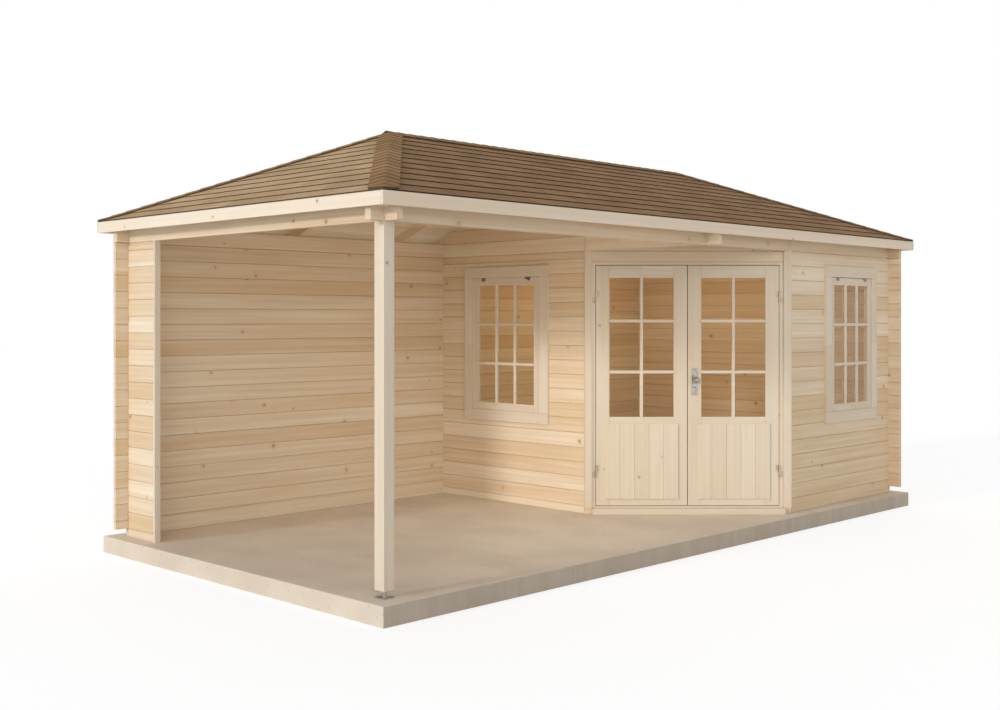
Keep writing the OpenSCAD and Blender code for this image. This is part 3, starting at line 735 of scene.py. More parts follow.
@dataclass(frozen=True)
class SatinSteel:
    """Satin steel with fine rubbed lines and duller patches."""

    name: str
    bright: Colour = (0.62, 0.60, 0.56, 1.0)
    dull: Colour = (0.30, 0.28, 0.25, 1.0)
    grains_per_m: float = 900.0
    patches_per_m: float = 40.0
    line_scale: Point3 = (900.0, 900.0, 30.0)
    metallic: float = 0.9
    relief: Point2 = (0.15, 0.0003)

    def build(self) -> Material:
        """Builds the finish from its patches and rubbed lines.

        Returns:
            The material.
        """
        material, g = new_material(self.name)
        place = g.place()
        grains = g.group(grit(), {"Place": place, "Grains": self.grains_per_m, "Patches": self.patches_per_m})
        lines = g.stretched_noise(place, self.line_scale)
        share = g.plus(g.times(grains["Patch"], 0.5), g.times(lines, 0.4))
        g.cover(g.bumped(lines, self.relief, {
            "Base Color": g.tint(share, self.bright, self.dull), "Metallic": self.metallic,
            "Roughness": g.ramp(share, 0.0, 1.0, 0.28, 0.5)}))
        return material


@dataclass(frozen=True)
class ClearGlass:
    """Clear window glass: see-through, with a mirror that grows towards grazing angles and a faint ripple."""

    name: str
    pass_tint: Colour = (0.95, 0.97, 0.955, 1.0)
    mirror_tint: Colour = (0.9, 0.92, 0.91, 1.0)
    roughness: float = 0.03
    ior: float = 1.32
    ripples_per_m: float = 6.0
    relief: Point2 = (0.05, 0.002)

    def build(self) -> Material:
        """Builds the finish, with its mirror on the outer faces only.

        Returns:
            The material.
        """
        material, g = new_material(self.name)
        gloss = g.bumped(g.noise(g.place(), self.ripples_per_m), self.relief, {
            "Base Color": self.mirror_tint, "Roughness": self.roughness, "Metallic": 1.0})
        clear = g.add("ShaderNodeBsdfTransparent", {"Color": self.pass_tint}).outputs[0]
        outer = g.minus(1.0, g.add("ShaderNodeNewGeometry").outputs["Backfacing"])
        mirror = g.times(g.add("ShaderNodeFresnel", {"IOR": self.ior}).outputs[0], outer)
        g.cover(g.add("ShaderNodeMixShader", {0: mirror, 1: clear, 2: gloss}).outputs[0])
        return material


STEEL = SatinSteel("satin_steel")
DARK_STEEL = SatinSteel("dark_steel", bright=(0.34, 0.28, 0.21, 1.0), dull=(0.15, 0.115, 0.08, 1.0))
HINGE_STEEL = SatinSteel("hinge_steel", bright=(0.68, 0.565, 0.42, 1.0), dull=(0.46, 0.365, 0.25, 1.0))


def extrude(profile: Sequence[Point2], start: float, end: float) -> BMesh:
    """Draws a profile out along X.

    Args:
        profile: The outline's points as (y, z).
        start: Where the piece begins along X.
        end: Where it ends.

    Returns:
        A closed mesh.
    """
    bm = bmesh.new()
    near = [bm.verts.new((start, y, z)) for y, z in profile]
    far = [bm.verts.new((end, y, z)) for y, z in profile]
    bm.faces.new(near)
    bm.faces.new(far)
    for i, corner in enumerate(near):
        after = (i + 1) % len(near)
        bm.faces.new((corner, near[after], far[after], far[i]))
    bmesh.ops.recalc_face_normals(bm, faces=bm.faces)
    return bm


def board_profile(width: float, depth: float, chamfer: float) -> list[Point2]:
    """Returns a board's section from y 0 to width and z 0 to depth, with its upper edges chamfered."""
    return [(0.0, 0.0), (width, 0.0), (width, depth - chamfer), (width - chamfer, depth), (chamfer, depth),
            (0.0, depth - chamfer)]


def put(name: str, data: ID) -> Object:
    """Puts data into the scene.

    Args:
        name: The new object's name.
        data: A mesh, lamp or camera.

    Returns:
        The object that holds it.
    """
    thing = bpy.data.objects.new(name, data)
    bpy.context.scene.collection.objects.link(thing)
    return thing


def as_object(name: str, bm: BMesh) -> Object:
    """Puts a mesh into the scene, and frees its builder.

    Args:
        name: The object's name.
        bm: The mesh's builder.

    Returns:
        The object.
    """
    mesh = bpy.data.meshes.new(name)
    bm.to_mesh(mesh)
    bm.free()
    return put(name, mesh)


def hand_over(piece: Object, body: Body, slot: Slot, *nodes: str) -> Object:
    """Hands a finished piece over to the frame.

    Args:
        piece: The piece.
        body: The body that it rides on.
        slot: Its material slot; not used.
        nodes: The CAD nodes that it stands for.

    Returns:
        The piece.
    """
    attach(piece, body.value)
    if nodes:
        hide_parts(*nodes)
    LOGGER.info("%s: %d faces on %s", piece.name, len(piece.data.polygons), body.value)
    return piece


def paint(material: Material, *nodes: str) -> None:
    """Gives CAD nodes their finish.

    Args:
        material: The finish.
        nodes: The nodes' names.
    """
    for name in nodes:
        mesh = frame["nodes"][name].data
        mesh.materials.clear()
        mesh.materials.append(material)
        LOGGER.info("%s: %s", name, material.name)


class RowTree:
    """Geometry Nodes that lay like pieces in rows on a plane, trimmed to slanted sides and a top.

    A piece lies with its length along X. Rows follow each other along Y, and the plane is then turned and placed.
    """

    NAME = "laid_rows"
    SOCKETS = {
        "Piece": (OBJECT, None), "Material": (MATERIAL, None), "Rows": (WHOLE, 1), "Columns": (WHOLE, 1),
        "Seed": (WHOLE, 1), "Row Pitch": (FLOAT, 0.1), "Column Pitch": (FLOAT, 0.1), "Stagger": (FLOAT, 0.0),
        "First Row": (FLOAT, 0.0), "Lift": (FLOAT, 0.0), "Lean": (FLOAT, 0.0), "Wobble": (FLOAT, 0.0),
        "Left Edge": (FLOAT, -FAR), "Left Cut": (FLOAT, -FAR), "Left Slope": (FLOAT, 0.0),
        "Right Edge": (FLOAT, FAR), "Right Cut": (FLOAT, FAR), "Right Slope": (FLOAT, 0.0), "Top": (FLOAT, FAR),
        "Foot": (FLOAT, -FAR), "Foot Slope": (FLOAT, 0.0), "Place": (VECTOR, ORIGIN), "Turn": (VECTOR, ORIGIN)}
    STAGGER_STEP = 0.382
    WELD = 1e-5

    @staticmethod
    def limits(g: Graph, given: Sockets, height: Feed) -> tuple[NodeSocket, NodeSocket]:
        """Finds the sides of the field.

        Args:
            g: The tree's graph.
            given: The tree's inputs.
            height: How far up the field.

        Returns:
            The left and right limit there.
        """
        left = g.plus(given["Left Cut"], g.times(given["Left Slope"], height))
        right = g.plus(given["Right Cut"], g.times(given["Right Slope"], height))
        return g.math("MAXIMUM", left, given["Left Edge"]), g.math("MINIMUM", right, given["Right Edge"])

    @classmethod
    def points(cls, g: Graph, given: Sockets) -> NodeSocket:
        """Sets out the places of the pieces.

        Args:
            g: The tree's graph.
            given: The tree's inputs.

        Returns:
            A point for each piece that lies at least partly on the field.
        """
        columns, pitch = given["Columns"], given["Column Pitch"]
        index = g.add("GeometryNodeInputIndex").outputs[0]
        row = g.math("FLOOR", g.math("DIVIDE", g.plus(index, 0.5), columns))
        column = g.minus(index, g.times(row, columns))
        middle = g.times(g.minus(columns, 1.0), 0.5)
        slide = g.times(g.minus(g.math("FRACT", g.times(row, cls.STAGGER_STEP)), 0.5), given["Stagger"])
        x = g.times(g.plus(g.minus(column, middle), slide), pitch)
        y = g.plus(given["First Row"], g.times(row, given["Row Pitch"]))

        left, right = cls.limits(g, given, y)
        left_up, right_up = cls.limits(g, given, g.plus(y, given["Row Pitch"]))
        half = g.times(pitch, 0.5)
        beyond = g.math("GREATER_THAN", g.minus(x, half), g.math("MAXIMUM", right, right_up))
        before = g.math("LESS_THAN", g.plus(x, half), g.math("MINIMUM", left, left_up))
        points = g.add("GeometryNodePoints", {"Count": g.times(given["Rows"], columns),
                                              "Position": g.combine(x, y, given["Lift"])})
        feeds = {"Geometry": points.outputs[0], "Selection": g.math("MAXIMUM", beyond, before)}
        return g.add("GeometryNodeDeleteGeometry", feeds, domain="POINT").outputs[0]

    @classmethod
    def trim(cls, g: Graph, given: Sockets, geometry: NodeSocket) -> NodeSocket:
        """Trims laid pieces to the field.

        Args:
            g: The tree's graph.
            given: The tree's inputs.
            geometry: The pieces.

        Returns:
            The pieces, with what stuck out drawn in and welded.
        """
        x, y, z = g.split(g.add("GeometryNodeInputPosition").outputs[0])
        foot = g.plus(given["Foot"], g.times(g.size(x), given["Foot Slope"]))
        y = g.math("MINIMUM", g.math("MAXIMUM", y, foot), given["Top"])
        left, right = cls.limits(g, given, y)
        x = g.math("MINIMUM", g.math("MAXIMUM", x, left), right)
        trimmed = g.add("GeometryNodeSetPosition", {"Geometry": geometry, "Position": g.combine(x, y, z)})
        feeds = {"Geometry": trimmed.outputs[0], "Distance": cls.WELD}
        return g.add("GeometryNodeMergeByDistance", feeds).outputs[0]

    @classmethod
    @lru_cache(maxsize=None)
    def tree(cls) -> NodeTree:
        """Builds the tree at its first use.

        Returns:
            The tree.
        """
        g, given, wanted = open_tree("GeometryNodeTree", cls.NAME, cls.SOCKETS, {"Geometry": GEOMETRY})
        points = cls.points(g, given)
        twist = g.times(g.random(-1.0, 1.0, given["Seed"]), given["Wobble"])
        piece = g.add("GeometryNodeObjectInfo", {"Object": given["Piece"]}).outputs["Geometry"]
        laid = g.add("GeometryNodeInstanceOnPoints", {
            "Points": points, "Instance": piece, "Rotation": g.rotation(g.combine(given["Lean"], 0.0, twist))})
        toned = g.add("GeometryNodeStoreNamedAttribute", {
            "Geometry": laid.outputs[0], "Name": TONE, "Value": g.random(0.0, 1.0, given["Seed"])},
            data_type="FLOAT", domain="INSTANCE")
        real = g.add("GeometryNodeRealizeInstances", {"Geometry": toned.outputs[0]})
        placed = g.add("GeometryNodeTransform", {
            "Geometry": cls.trim(g, given, real.outputs[0]), "Translation": given["Place"],
            "Rotation": g.rotation(given["Turn"])})
        dressed = g.add("GeometryNodeSetMaterial", {"Geometry": placed.outputs[0], "Material": given["Material"]})
        g.feed(wanted["Geometry"], dressed.outputs[0])
        return g.tree


class FixingTree:
    """Geometry Nodes that set a fixing on every point of a mesh, facing as the point says."""

    NAME = "set_fixings"
    SOCKETS = {"Geometry": (GEOMETRY, None), "Piece": (OBJECT, None), "Material": (MATERIAL, None), "Seed": (WHOLE, 7)}

    @classmethod
    @lru_cache(maxsize=None)
    def tree(cls) -> NodeTree:
        """Builds the tree at its first use.

        Returns:
            The tree.
        """
        g, given, wanted = open_tree("GeometryNodeTree", cls.NAME, cls.SOCKETS, {"Geometry": GEOMETRY})
        facing = g.add("GeometryNodeInputNamedAttribute", {"Name": FACING}, data_type="FLOAT_VECTOR")
        piece = g.add("GeometryNodeObjectInfo", {"Object": given["Piece"]}).outputs["Geometry"]
        laid = g.add("GeometryNodeInstanceOnPoints", {
            "Points": given["Geometry"], "Instance": piece, "Rotation": g.rotation(g.result(facing))})
        driven = g.combine(0.0, 0.0, g.random(0.0, math.tau, given["Seed"]))
        spun = g.add("GeometryNodeRotateInstances", {"Instances": laid.outputs[0], "Rotation": g.rotation(driven)})
        real = g.add("GeometryNodeRealizeInstances", {"Geometry": spun.outputs[0]})
        dressed = g.add("GeometryNodeSetMaterial", {"Geometry": real.outputs[0], "Material": given["Material"]})
        g.feed(wanted["Geometry"], dressed.outputs[0])
        return g.tree


def grow(name: str, base: Mesh, tree: NodeTree, piece: BMesh, material: Material, values: dict[str, Any]) -> Object:
    """Runs a Geometry Nodes tree once and keeps its result as a plain mesh.

    Args:
        name: The finished piece's name.
        base: The mesh that the tree starts from.
        tree: The tree.
        piece: The piece that it repeats, which is used up.
        material: The finish.
        values: The tree's other inputs, by name.

    Returns:
        The piece, at the origin with its place in its mesh.
    """
    template = as_object(name + "_template", piece)
    seed = put(name + "_seed", base)
    modifier = seed.modifiers.new("grow", "NODES")
    modifier.node_group = tree
    keys = {item.name: item.identifier for item in tree.interface.items_tree if item.in_out == "INPUT"}
    for key, value in {**values, "Piece": template, "Material": material}.items():
        modifier[keys[key]] = value
    depsgraph = bpy.context.evaluated_depsgraph_get()
    mesh = bpy.data.meshes.new_from_object(seed.evaluated_get(depsgraph), preserve_all_data_layers=True,
                                           depsgraph=depsgraph)
    mesh.name = name
    mesh.materials.clear()
    mesh.materials.append(material)
    mesh.polygons.foreach_set("material_index", [0] * len(mesh.polygons))
    seed.modifiers.remove(modifier)
    bpy.data.objects.remove(seed)
    bpy.data.objects.remove(template)
    return put(name, mesh)


def lay_rows(name: str, piece: BMesh, material: Material, **values: Any) -> Object:
    """Lays a piece in rows, with underscores in the values' names for the tree's spaces."""
    inputs = {key.replace("_", " ").title(): value for key, value in values.items()}
    return grow(name, bpy.data.meshes.new(name + "_base"), RowTree.tree(), piece, material, inputs)


def set_fixings(name: str, piece: BMesh, material: Material, places: Sequence[tuple[Vector, Euler]]) -> Object:
    """Sets a fixing on each place.

    Args:
        name: The finished piece's name.
        piece: One fixing, which is used up.
        material: The finish.
        places: Where each fixing goes, and how it is turned.

    Returns:
        The fixings as one piece.
    """
    base = bpy.data.meshes.new(name + "_base")
    base.from_pydata([place for place, _ in places], [], [])
    facing = base.attributes.new(FACING, "FLOAT_VECTOR", "POINT")
    for item, (_, turn) in zip(facing.data, places):
        item.vector = turn
    return grow(name, base, FixingTree.tree(), piece, material, {})


def join(name: str, pieces: Sequence[Object]) -> Object:
    """Joins pieces of one finish into one, and removes them.

    Args:
        name: The joined piece's name.
        pieces: The pieces.

    Returns:
        The joined piece.
    """
    bm = bmesh.new()
    for piece in pieces:
        bm.from_mesh(piece.data)
    whole = as_object(name, bm)
    for material in pieces[0].data.materials:
        whole.data.materials.append(material)
    for piece in pieces:
        bpy.data.objects.remove(piece)
    return whole


def turn_to(x_way: Vector, y_way: Vector) -> Euler:
    """Returns the turn that takes X and Y to the given ways."""
    return Matrix((x_way, y_way, x_way.cross(y_way))).transposed().to_euler("XYZ")


@dataclass
class LogWork:
    """The log walls, plates and rafters, with one tone to each log."""

    log_h: float = 0.114
    # Half the band of painted shade over each joint between logs.
    joint_shade_half: float = 0.004

    def logs(self, name: str, grain: Grain, start: float = SLAB_TOP) -> Material:
        """Returns the finish of walls whose first log starts at that height."""
        return Spruce(name, grain, row_height=self.log_h, row_start=start, joint_shade_half=self.joint_shade_half).build()

    def dress(self) -> None:
        """Gives the logs their finish, wall by wall."""
        paint(self.logs("logs_along", Grain.ALONG_X), "back_wall", "cabin_front_wall", "front_plate", "back_plate")
        paint(self.logs("logs_across", Grain.ALONG_Y, SLAB_TOP + self.log_h / 2),
              "veranda_end_wall", "cabin_side_wall", "cabin_right_wall")
        paint(self.logs("logs_gable", Grain.ALONG_Y),
              "cabin_side_gable", "left_plate", "right_plate", "cabin_side_plate")
        paint(self.logs("logs_over_door", Grain.ALONG_DOOR), "door_header")
        paint(Spruce("bearer_wood", Grain.ALONG_X).build(), "floor_bearers", "ridge_board")
        paint(Spruce("rafter_wood", Grain.ALONG_Y).build(), "common_rafters")
        paint(Spruce("hip_rafter_wood", Grain.ALONG_HIP, ends_show=False).build(), "hip_rafters")


@dataclass
class Trim:
    """The post, strips, door frame and fascias: clear planed wood, with the fascias a shade paler."""

    fascia_light: Colour = (0.88, 0.80, 0.675, 1.0)
    fascia_dark: Colour = (0.77, 0.64, 0.485, 1.0)

    def finish(self, name: str, grain: Grain, light: Colour = TRIM_LIGHT, dark: Colour = TRIM_DARK) -> Material:
        """Returns the trim's finish with its grain that way."""
        return Spruce(name, grain, light=light, dark=dark, knot_size=TRIM_KNOT).build()

    def dress(self) -> None:
        """Gives each run of trim its finish."""
        pale = (self.fascia_light, self.fascia_dark)
        paint(self.finish("trim_upright", Grain.UPRIGHT), "veranda_post", "veranda_end_trim")
        paint(self.finish("trim_upright_door", Grain.UPRIGHT_DOOR), "corner_strips", "door_jambs")
        paint(self.finish("trim_along_door", Grain.ALONG_DOOR), "door_head", "door_sill")
        paint(self.finish("fascia_along", Grain.ALONG_X, *pale), "long_fascias")
        paint(self.finish("fascia_across", Grain.ALONG_Y, *pale), "end_fascias")


@dataclass
class SillEnds:
    """Blocks under the corner strips, which close the wall's ends beside the door sill."""

    strip_w: float = 0.058
    proud: float = 0.009
    hinge_along: float = 0.0905
    hinge_into: float = 0.0073
    ease: float = 0.0008

    def build(self) -> Object:
        """Cuts a block to each of the two walls that meet the door wall.

        Returns:
            The two blocks as one piece.
        """
        low, high = SLAB_TOP + self.ease, node_box("corner_strips")[0].z - self.ease
        near, far = self.ease, self.strip_w - self.ease
        rise = abs(DOOR.along.y / DOOR.along.x)
        ends = (("left_block", 1.0, rise, -self.hinge_along),
                ("right_block", -1.0, 1.0 / rise, DOOR.span + self.hinge_along))
        blocks = []
        for name, way, slope, along in ends:
            outline = [(near, -self.proud), (far, -self.proud), (far, (far - 2 * self.ease) * slope),
                       (near, -self.ease)]
            bm = extrude(outline, low, high)
            bm.transform(Matrix((UP, DOOR.along * way, DOOR.into)).transposed().to_4x4())
            bmesh.ops.translate(bm, vec=DOOR.place(along, self.hinge_into, 0.0), verts=bm.verts)
            bmesh.ops.recalc_face_normals(bm, faces=bm.faces)
            blocks.append(as_object(name, bm))
        piece = join("sill_end_blocks", blocks)
        piece.data.materials.append(Spruce("sill_block_wood", Grain.ALONG_DOOR).build())
        return hand_over(piece, Body.HOUSE, Slot.PLANED_WOOD)


@dataclass
class Slab:
    """The cast slab, with rounded corners and eased upper edges."""

    corner_r: float = 0.008
    corner_steps: int = 5
    edge_r: float = 0.007
    edge_steps: int = 3

    def build(self) -> Object:
        """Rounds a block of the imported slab's size.

        Returns:
            The slab's piece.
        """
        low, high = node_box("concrete_slab")
        bm = bmesh.new()
        bmesh.ops.create_cube(bm, size=1.0)
        bmesh.ops.scale(bm, vec=high - low, verts=bm.verts)
        bmesh.ops.translate(bm, vec=(low + high) / 2, verts=bm.verts)
        upright = [e for e in bm.edges if abs(e.verts[0].co.z - e.verts[1].co.z) > self.corner_r]
        bmesh.ops.bevel(bm, geom=upright, offset=self.corner_r, segments=self.corner_steps, profile=0.5,
                        affect="EDGES")
        rim = [e for e in bm.edges if all(abs(v.co.z - high.z) < NEARLY_NONE for v in e.verts)]
        bmesh.ops.bevel(bm, geom=rim, offset=self.edge_r, segments=self.edge_steps, profile=0.5, affect="EDGES")
        piece = as_object("slab", bm)
        piece.data.materials.append(CastConcrete("cast_concrete").build())
        return hand_over(piece, Body.HOUSE, Slot.CONCRETE, "concrete_slab")


@dataclass
class ShingleRoof:
    """Courses of felt shingles on four slopes, with bent cap shingles over the hips and the ridge.

    The end slopes' shingles and cut edges are a little paler than the long ones': painted light that stands for the
    sun on an end slope.
    """

    exposure: float = 0.137
    headlap: float = 0.035
    tab_w: float = 0.24
    tab_gap: float = 0.003
    tab_t: float = 0.0055
    tab_wobble: float = 0.004
    seat: float = -0.0045
    eave_start: float = 0.006
    cap_half_w: float = 0.082
    cap_lip: float = 0.003
    cap_bend: float = 0.1
    cap_rise: float = 0.011
    cap_t: float = 0.003
    cap_exposure: float = 0.11
    cap_wobble: float = 0.01
    # Painted light: paler felt and cut edges for the end slopes, standing for sunlight on them.
    painted_sun_end_light: Colour = (0.64, 0.45, 0.26, 1.0)
    painted_sun_end_dark: Colour = (0.36, 0.235, 0.125, 1.0)
    painted_sun_end_edge: Colour = (0.11, 0.077, 0.046, 1.0)
    cap_light: Colour = (0.425, 0.258, 0.118, 1.0)
    cap_dark: Colour = (0.212, 0.117, 0.047, 1.0)
    cap_edge: Colour = (0.11, 0.072, 0.04, 1.0)

    def tab(self) -> BMesh:
        """Draws one shingle.

        Returns:
            The shingle, its butt on X and its length up Y.
        """
        length, half = self.exposure + self.headlap, (self.tab_w - self.tab_gap) / 2
        profile = [(0.0, 0.0), (length, 0.0), (length, self.tab_t), (self.tab_t / 3, self.tab_t),
                   (0.0, self.tab_t * 2 / 3)]
        return extrude(profile, -half, half)

    def courses(self, name: str, felt: Material, first: int) -> Object:
        """Lays the shingles of two facing slopes.

        Args:
            name: The piece's name.
            felt: The finish.
            first: The number of the first slope.

        Returns:
            Both slopes' shingles as one piece.
        """
        slopes = []
        for number in (first, first + 2):
            side, turn, reach, half = ROOF.slopes()[number]
            slopes.append(lay_rows(
                side + "_courses", self.tab(), felt, rows=math.ceil(ROOF.slope_l / self.exposure),
                columns=math.ceil(2 * half / self.tab_w) + 2, row_pitch=self.exposure, column_pitch=self.tab_w,
                stagger=1.0, first_row=self.eave_start, lift=self.tab_t + self.seat,
                lean=-math.atan2(self.tab_t, self.exposure), wobble=self.tab_wobble, seed=number,
                **ROOF.slope_field(turn, reach, half)))
        return join(name, slopes)

    def strip(self, drop: float, half: float, depth: float, length: float) -> BMesh:
        """Draws a strip that is bent over a hip or the ridge.

        Args:
            drop: The angle by which its wings fall.
            half: Half its width.
            depth: Its thickness.
            length: Its length.

        Returns:
            The strip, its length up Y.
        """
        fall, bend = math.tan(drop), half * self.cap_bend
        under = [(-half, -half * fall), (-bend, -bend * fall), (0.0, -bend * fall / 2), (bend, -bend * fall),
                 (half, -half * fall)]
        bm = extrude(under + [(y, z + depth) for y, z in reversed(under)], 0.0, length)
        bmesh.ops.rotate(bm, matrix=Matrix.Rotation(math.pi / 2, 3, "Z"), verts=bm.verts)
        return bm

    def cap_run(self, name: str, start: Vector, end: Vector, felt: Material, seed: int) -> Object:
        """Lays the raised strip of a hip or ridge, with cap shingles lapped along it.

        Args:
            name: The run's name.
            start: Its lower end, or one end of the ridge.
            end: Its other end.
            felt: The finish.
            seed: Sets the shingles' tones.

        Returns:
            The run.
        """
        length, way = (end - start).length, (end - start).normalized()
        level = abs(way.z) < NEARLY_NONE
        drop = ROOF.pitch if level else math.asin(math.sin(ROOF.pitch) / math.sqrt(2))
        foot = {"foot": 0.0} if level else {"foot": self.eave_start, "foot_slope": 1.0 / way.to_2d().length}
        lie = {"top": length, "place": start, "turn": turn_to(way.cross(UP).normalized(), way), "seed": seed, **foot}
        bed = lay_rows(name + "_bed", self.strip(drop, self.cap_half_w, self.cap_rise, length), felt,
                       row_pitch=length, **lie)
        cap = self.strip(drop, self.cap_half_w + self.cap_lip, self.cap_t, self.cap_exposure + self.headlap)
        caps = lay_rows(name + "_caps", cap, felt, rows=math.ceil(length / self.cap_exposure),
                        row_pitch=self.cap_exposure, lift=self.cap_rise + self.cap_t,
                        lean=-math.atan2(self.cap_t, self.cap_exposure), wobble=self.cap_wobble, **lie)
        return join(name, [bed, caps])

    def caps(self, felt: Material) -> Object:
        """Lays the caps of the four hips and the ridge.

        Args:
            felt: The finish.

        Returns:
            The caps as one piece.
        """
        runs = []
        for number, (x, y) in enumerate(((-1, -1), (1, -1), (1, 1), (-1, 1))):
            foot = Vector((x * ROOF.half_l, y * ROOF.half_w, ROOF.eave_z))
            head = Vector((x * ROOF.ridge_half_l, 0.0, ROOF.ridge_z))
            runs.append(self.cap_run(f"hip_{number}", foot, head, felt, number))
        reach = ROOF.ridge_half_l + self.cap_half_w / 2
        ends = (Vector((-reach, 0.0, ROOF.ridge_z)), Vector((reach, 0.0, ROOF.ridge_z)))
        runs.append(self.cap_run("ridge", *ends, felt, len(runs)))
        return join("cap_shingles", runs)

    def build(self) -> None:
        """Builds the covering and hands it over."""
        long_felt = Shingle("long_slope_felt").build()
        # The end slopes get the paler felt, a painted sunlight.
        painted_sun_end_felt = Shingle("painted_sun_end_slope_felt", self.painted_sun_end_light, self.painted_sun_end_dark, self.painted_sun_end_edge).build()
        cap_felt = Shingle("cap_felt", self.cap_light, self.cap_dark, self.cap_edge).build()
        hand_over(self.courses("shingle_courses", long_felt, 0), Body.HOUSE, Slot.SHINGLE, "roof_covering")
        hand_over(self.courses("end_shingle_courses", painted_sun_end_felt, 1), Body.HOUSE, Slot.SHINGLE)
        hand_over(self.caps(cap_felt), Body.HOUSE, Slot.SHINGLE, "ridge_and_hip_caps")


@dataclass
class RoofBoarding:
    """Tongued boards under the shingles, grooved where they meet, as the open veranda shows them."""

    pitch_w: float = 0.096
    play: float = 0.0006
    board_t: float = 0.018
    groove: float = 0.005
    cover_t: float = 0.0083
    eave_start: float = 0.0225
    first_seed: int = 20

    def slope(self, number: int) -> Object:
        """Lays the boards of one slope.

        Args:
            number: The slope's number.

        Returns:
            The slope's boards as one piece.
        """
        name, turn, reach, half = ROOF.slopes()[number]
        profile = [(y, -z) for y, z in board_profile(self.pitch_w - self.play, self.board_t, self.groove)]
        grain = Grain.ALONG_X if number % 2 == 0 else Grain.ALONG_Y
        return lay_rows(
            name + "_roof_boards", extrude(profile, -half, half),
            BoardSpruce(name + "_roof_board_wood", grain).build(),
            rows=math.ceil((ROOF.slope_l - self.eave_start) / self.pitch_w), row_pitch=self.pitch_w,
            column_pitch=2 * half, first_row=self.eave_start, lift=-self.cover_t, seed=self.first_seed + number,
            **ROOF.slope_field(turn, reach, half))

    def build(self) -> None:
        """Builds the boarding of all four slopes and hands it over."""
        first, *others = [self.slope(number) for number in range(len(ROOF.slopes()))]
        for slope in others:
            hand_over(slope, Body.HOUSE, Slot.PLANED_WOOD)
        hand_over(first, Body.HOUSE, Slot.PLANED_WOOD, "roof_boards")


@dataclass
class RoomFloor:
    """Tongued floor boards of the room, cut to the slanted door wall."""

    pitch_w: float = 0.095
    play: float = 0.0008
    chamfer: float = 0.0015
    cut_left: Point2 = (0.1535, -0.176)
    cut_right: Point2 = (1.3894, -1.274)
    seed: int = 40

    def build(self) -> Object:
        """Lays the boards from the front to the back.

        Returns:
            The floor's piece.
        """
        low, high = node_box("floor_boards")
        length, width, depth = high - low
        middle = (low.x + high.x) / 2
        slope = (self.cut_right[0] - self.cut_left[0]) / (self.cut_right[1] - self.cut_left[1])
        cut = self.cut_left[0] + slope * (low.y - self.cut_left[1]) - middle
        board = extrude(board_profile(self.pitch_w - self.play, depth, self.chamfer), -length / 2, length / 2)
        floor = lay_rows("floor", board, BoardSpruce("floor_wood", Grain.ALONG_X).build(),
                         rows=math.ceil(width / self.pitch_w), row_pitch=self.pitch_w, column_pitch=length,
                         left_edge=-length / 2, left_cut=cut, left_slope=slope, right_edge=length / 2, top=width,
                         seed=self.seed, place=(middle, low.y, low.z))
        return hand_over(floor, Body.HOUSE, Slot.PLANED_WOOD, "floor_boards")


@dataclass
class GlazingBars:
    """Planted glazing bars on both sides of a pane, lapped onto the frame round it."""

    width: float = 0.024
    proud: float = 0.007
    chamfer: float = 0.004
    lap: float = 0.014
    inner_lap: float = 0.009
    inner_depth: float = 0.011
    upright_set: float = 0.001
    glass_t: float = 0.0044
    seed: int = 60

    def run(self, name: str, wood: Material, length: float, depth: float, count: int, pitch: float,
            place: Vector, turn: Euler) -> Object:
        """Lays bars of one way, side by side about their middle.

        Args:
            name: The run's name.
            wood: Its finish.
            length: The bars' length, laps included.
            depth: How deep a bar stands on the glass.
            count: How many bars.
            pitch: From one to the next.
            place: The middle of the run, on the glass.
            turn: Takes X along the bars, Y across them and Z out from the glass.

        Returns:
            The run.
        """
        profile = [(y - self.width / 2, z) for y, z in board_profile(self.width, depth, self.chamfer)]
        return lay_rows(name, extrude(profile, -length / 2, length / 2), wood, rows=count, row_pitch=pitch,
                        first_row=-pitch * (count - 1) / 2, column_pitch=length, seed=self.seed, place=place,
                        turn=turn)

    def both_sides(self, wood: Material, across: Vector, outward: Vector, size: Point2, glass: Vector,
                   glass_set: float, level: tuple[int, float, float], upright: tuple[int, float]) -> list[Object]:
        """Lays the bars of one light, outside and inside.

        Args:
            wood: The bars' finish.
            across: The way across the light, with outward on its side.
            outward: The way out of the house.
            size: The opening's width and height.
            glass: The middle of the glass's outer face.
            glass_set: How deep that face lies in the frame.
            level: How many level bars, their pitch and how far their middle is above the glass's.
            upright: How many upright bars, and their pitch.

        Returns:
            The runs.
        """
        width, height = size
        count, pitch, above = level
        runs = []
        for side, way, lap, depth, spot in (
                ("outer", 1.0, self.lap, glass_set + self.proud, glass),
                ("inner", -1.0, self.inner_lap, self.inner_depth, glass - outward * self.glass_t)):
            runs.append(self.run(side + "_level", wood, width + 2 * lap, depth, count, pitch, spot + UP * above,
                                 turn_to(across, UP * way)))
            runs.append(self.run(side + "_upright", wood, height + 2 * lap, depth - self.upright_set, *upright, spot,
                                 turn_to(UP, across * -way)))
        return runs


@dataclass
class ButtHinge:
    """A small butt hinge along X, with its leaves up and down Y and its barrel out along Z."""

    length: float = 0.05
    leaf_w: float = 0.02
    leaf_t: float = 0.002
    barrel_r: float = 0.0045
    barrel_sides: int = 10

    def shape(self) -> BMesh:
        """Draws the barrel and the two leaves.

        Returns:
            The hinge.
        """
        ring = [math.tau * i / self.barrel_sides for i in range(self.barrel_sides)]
        barrel = [(self.barrel_r * math.cos(a), self.leaf_t + self.barrel_r * math.sin(a)) for a in ring]
        bm = extrude(barrel, -self.length / 2, self.length / 2)
        for side in (-1, 1):
            place = Matrix.Translation((0.0, side * self.leaf_w / 2, self.leaf_t / 2))
            size = Matrix.Diagonal((self.length, self.leaf_w, self.leaf_t, 1.0))
            bmesh.ops.create_cube(bm, size=1.0, matrix=place @ size)
        return bm


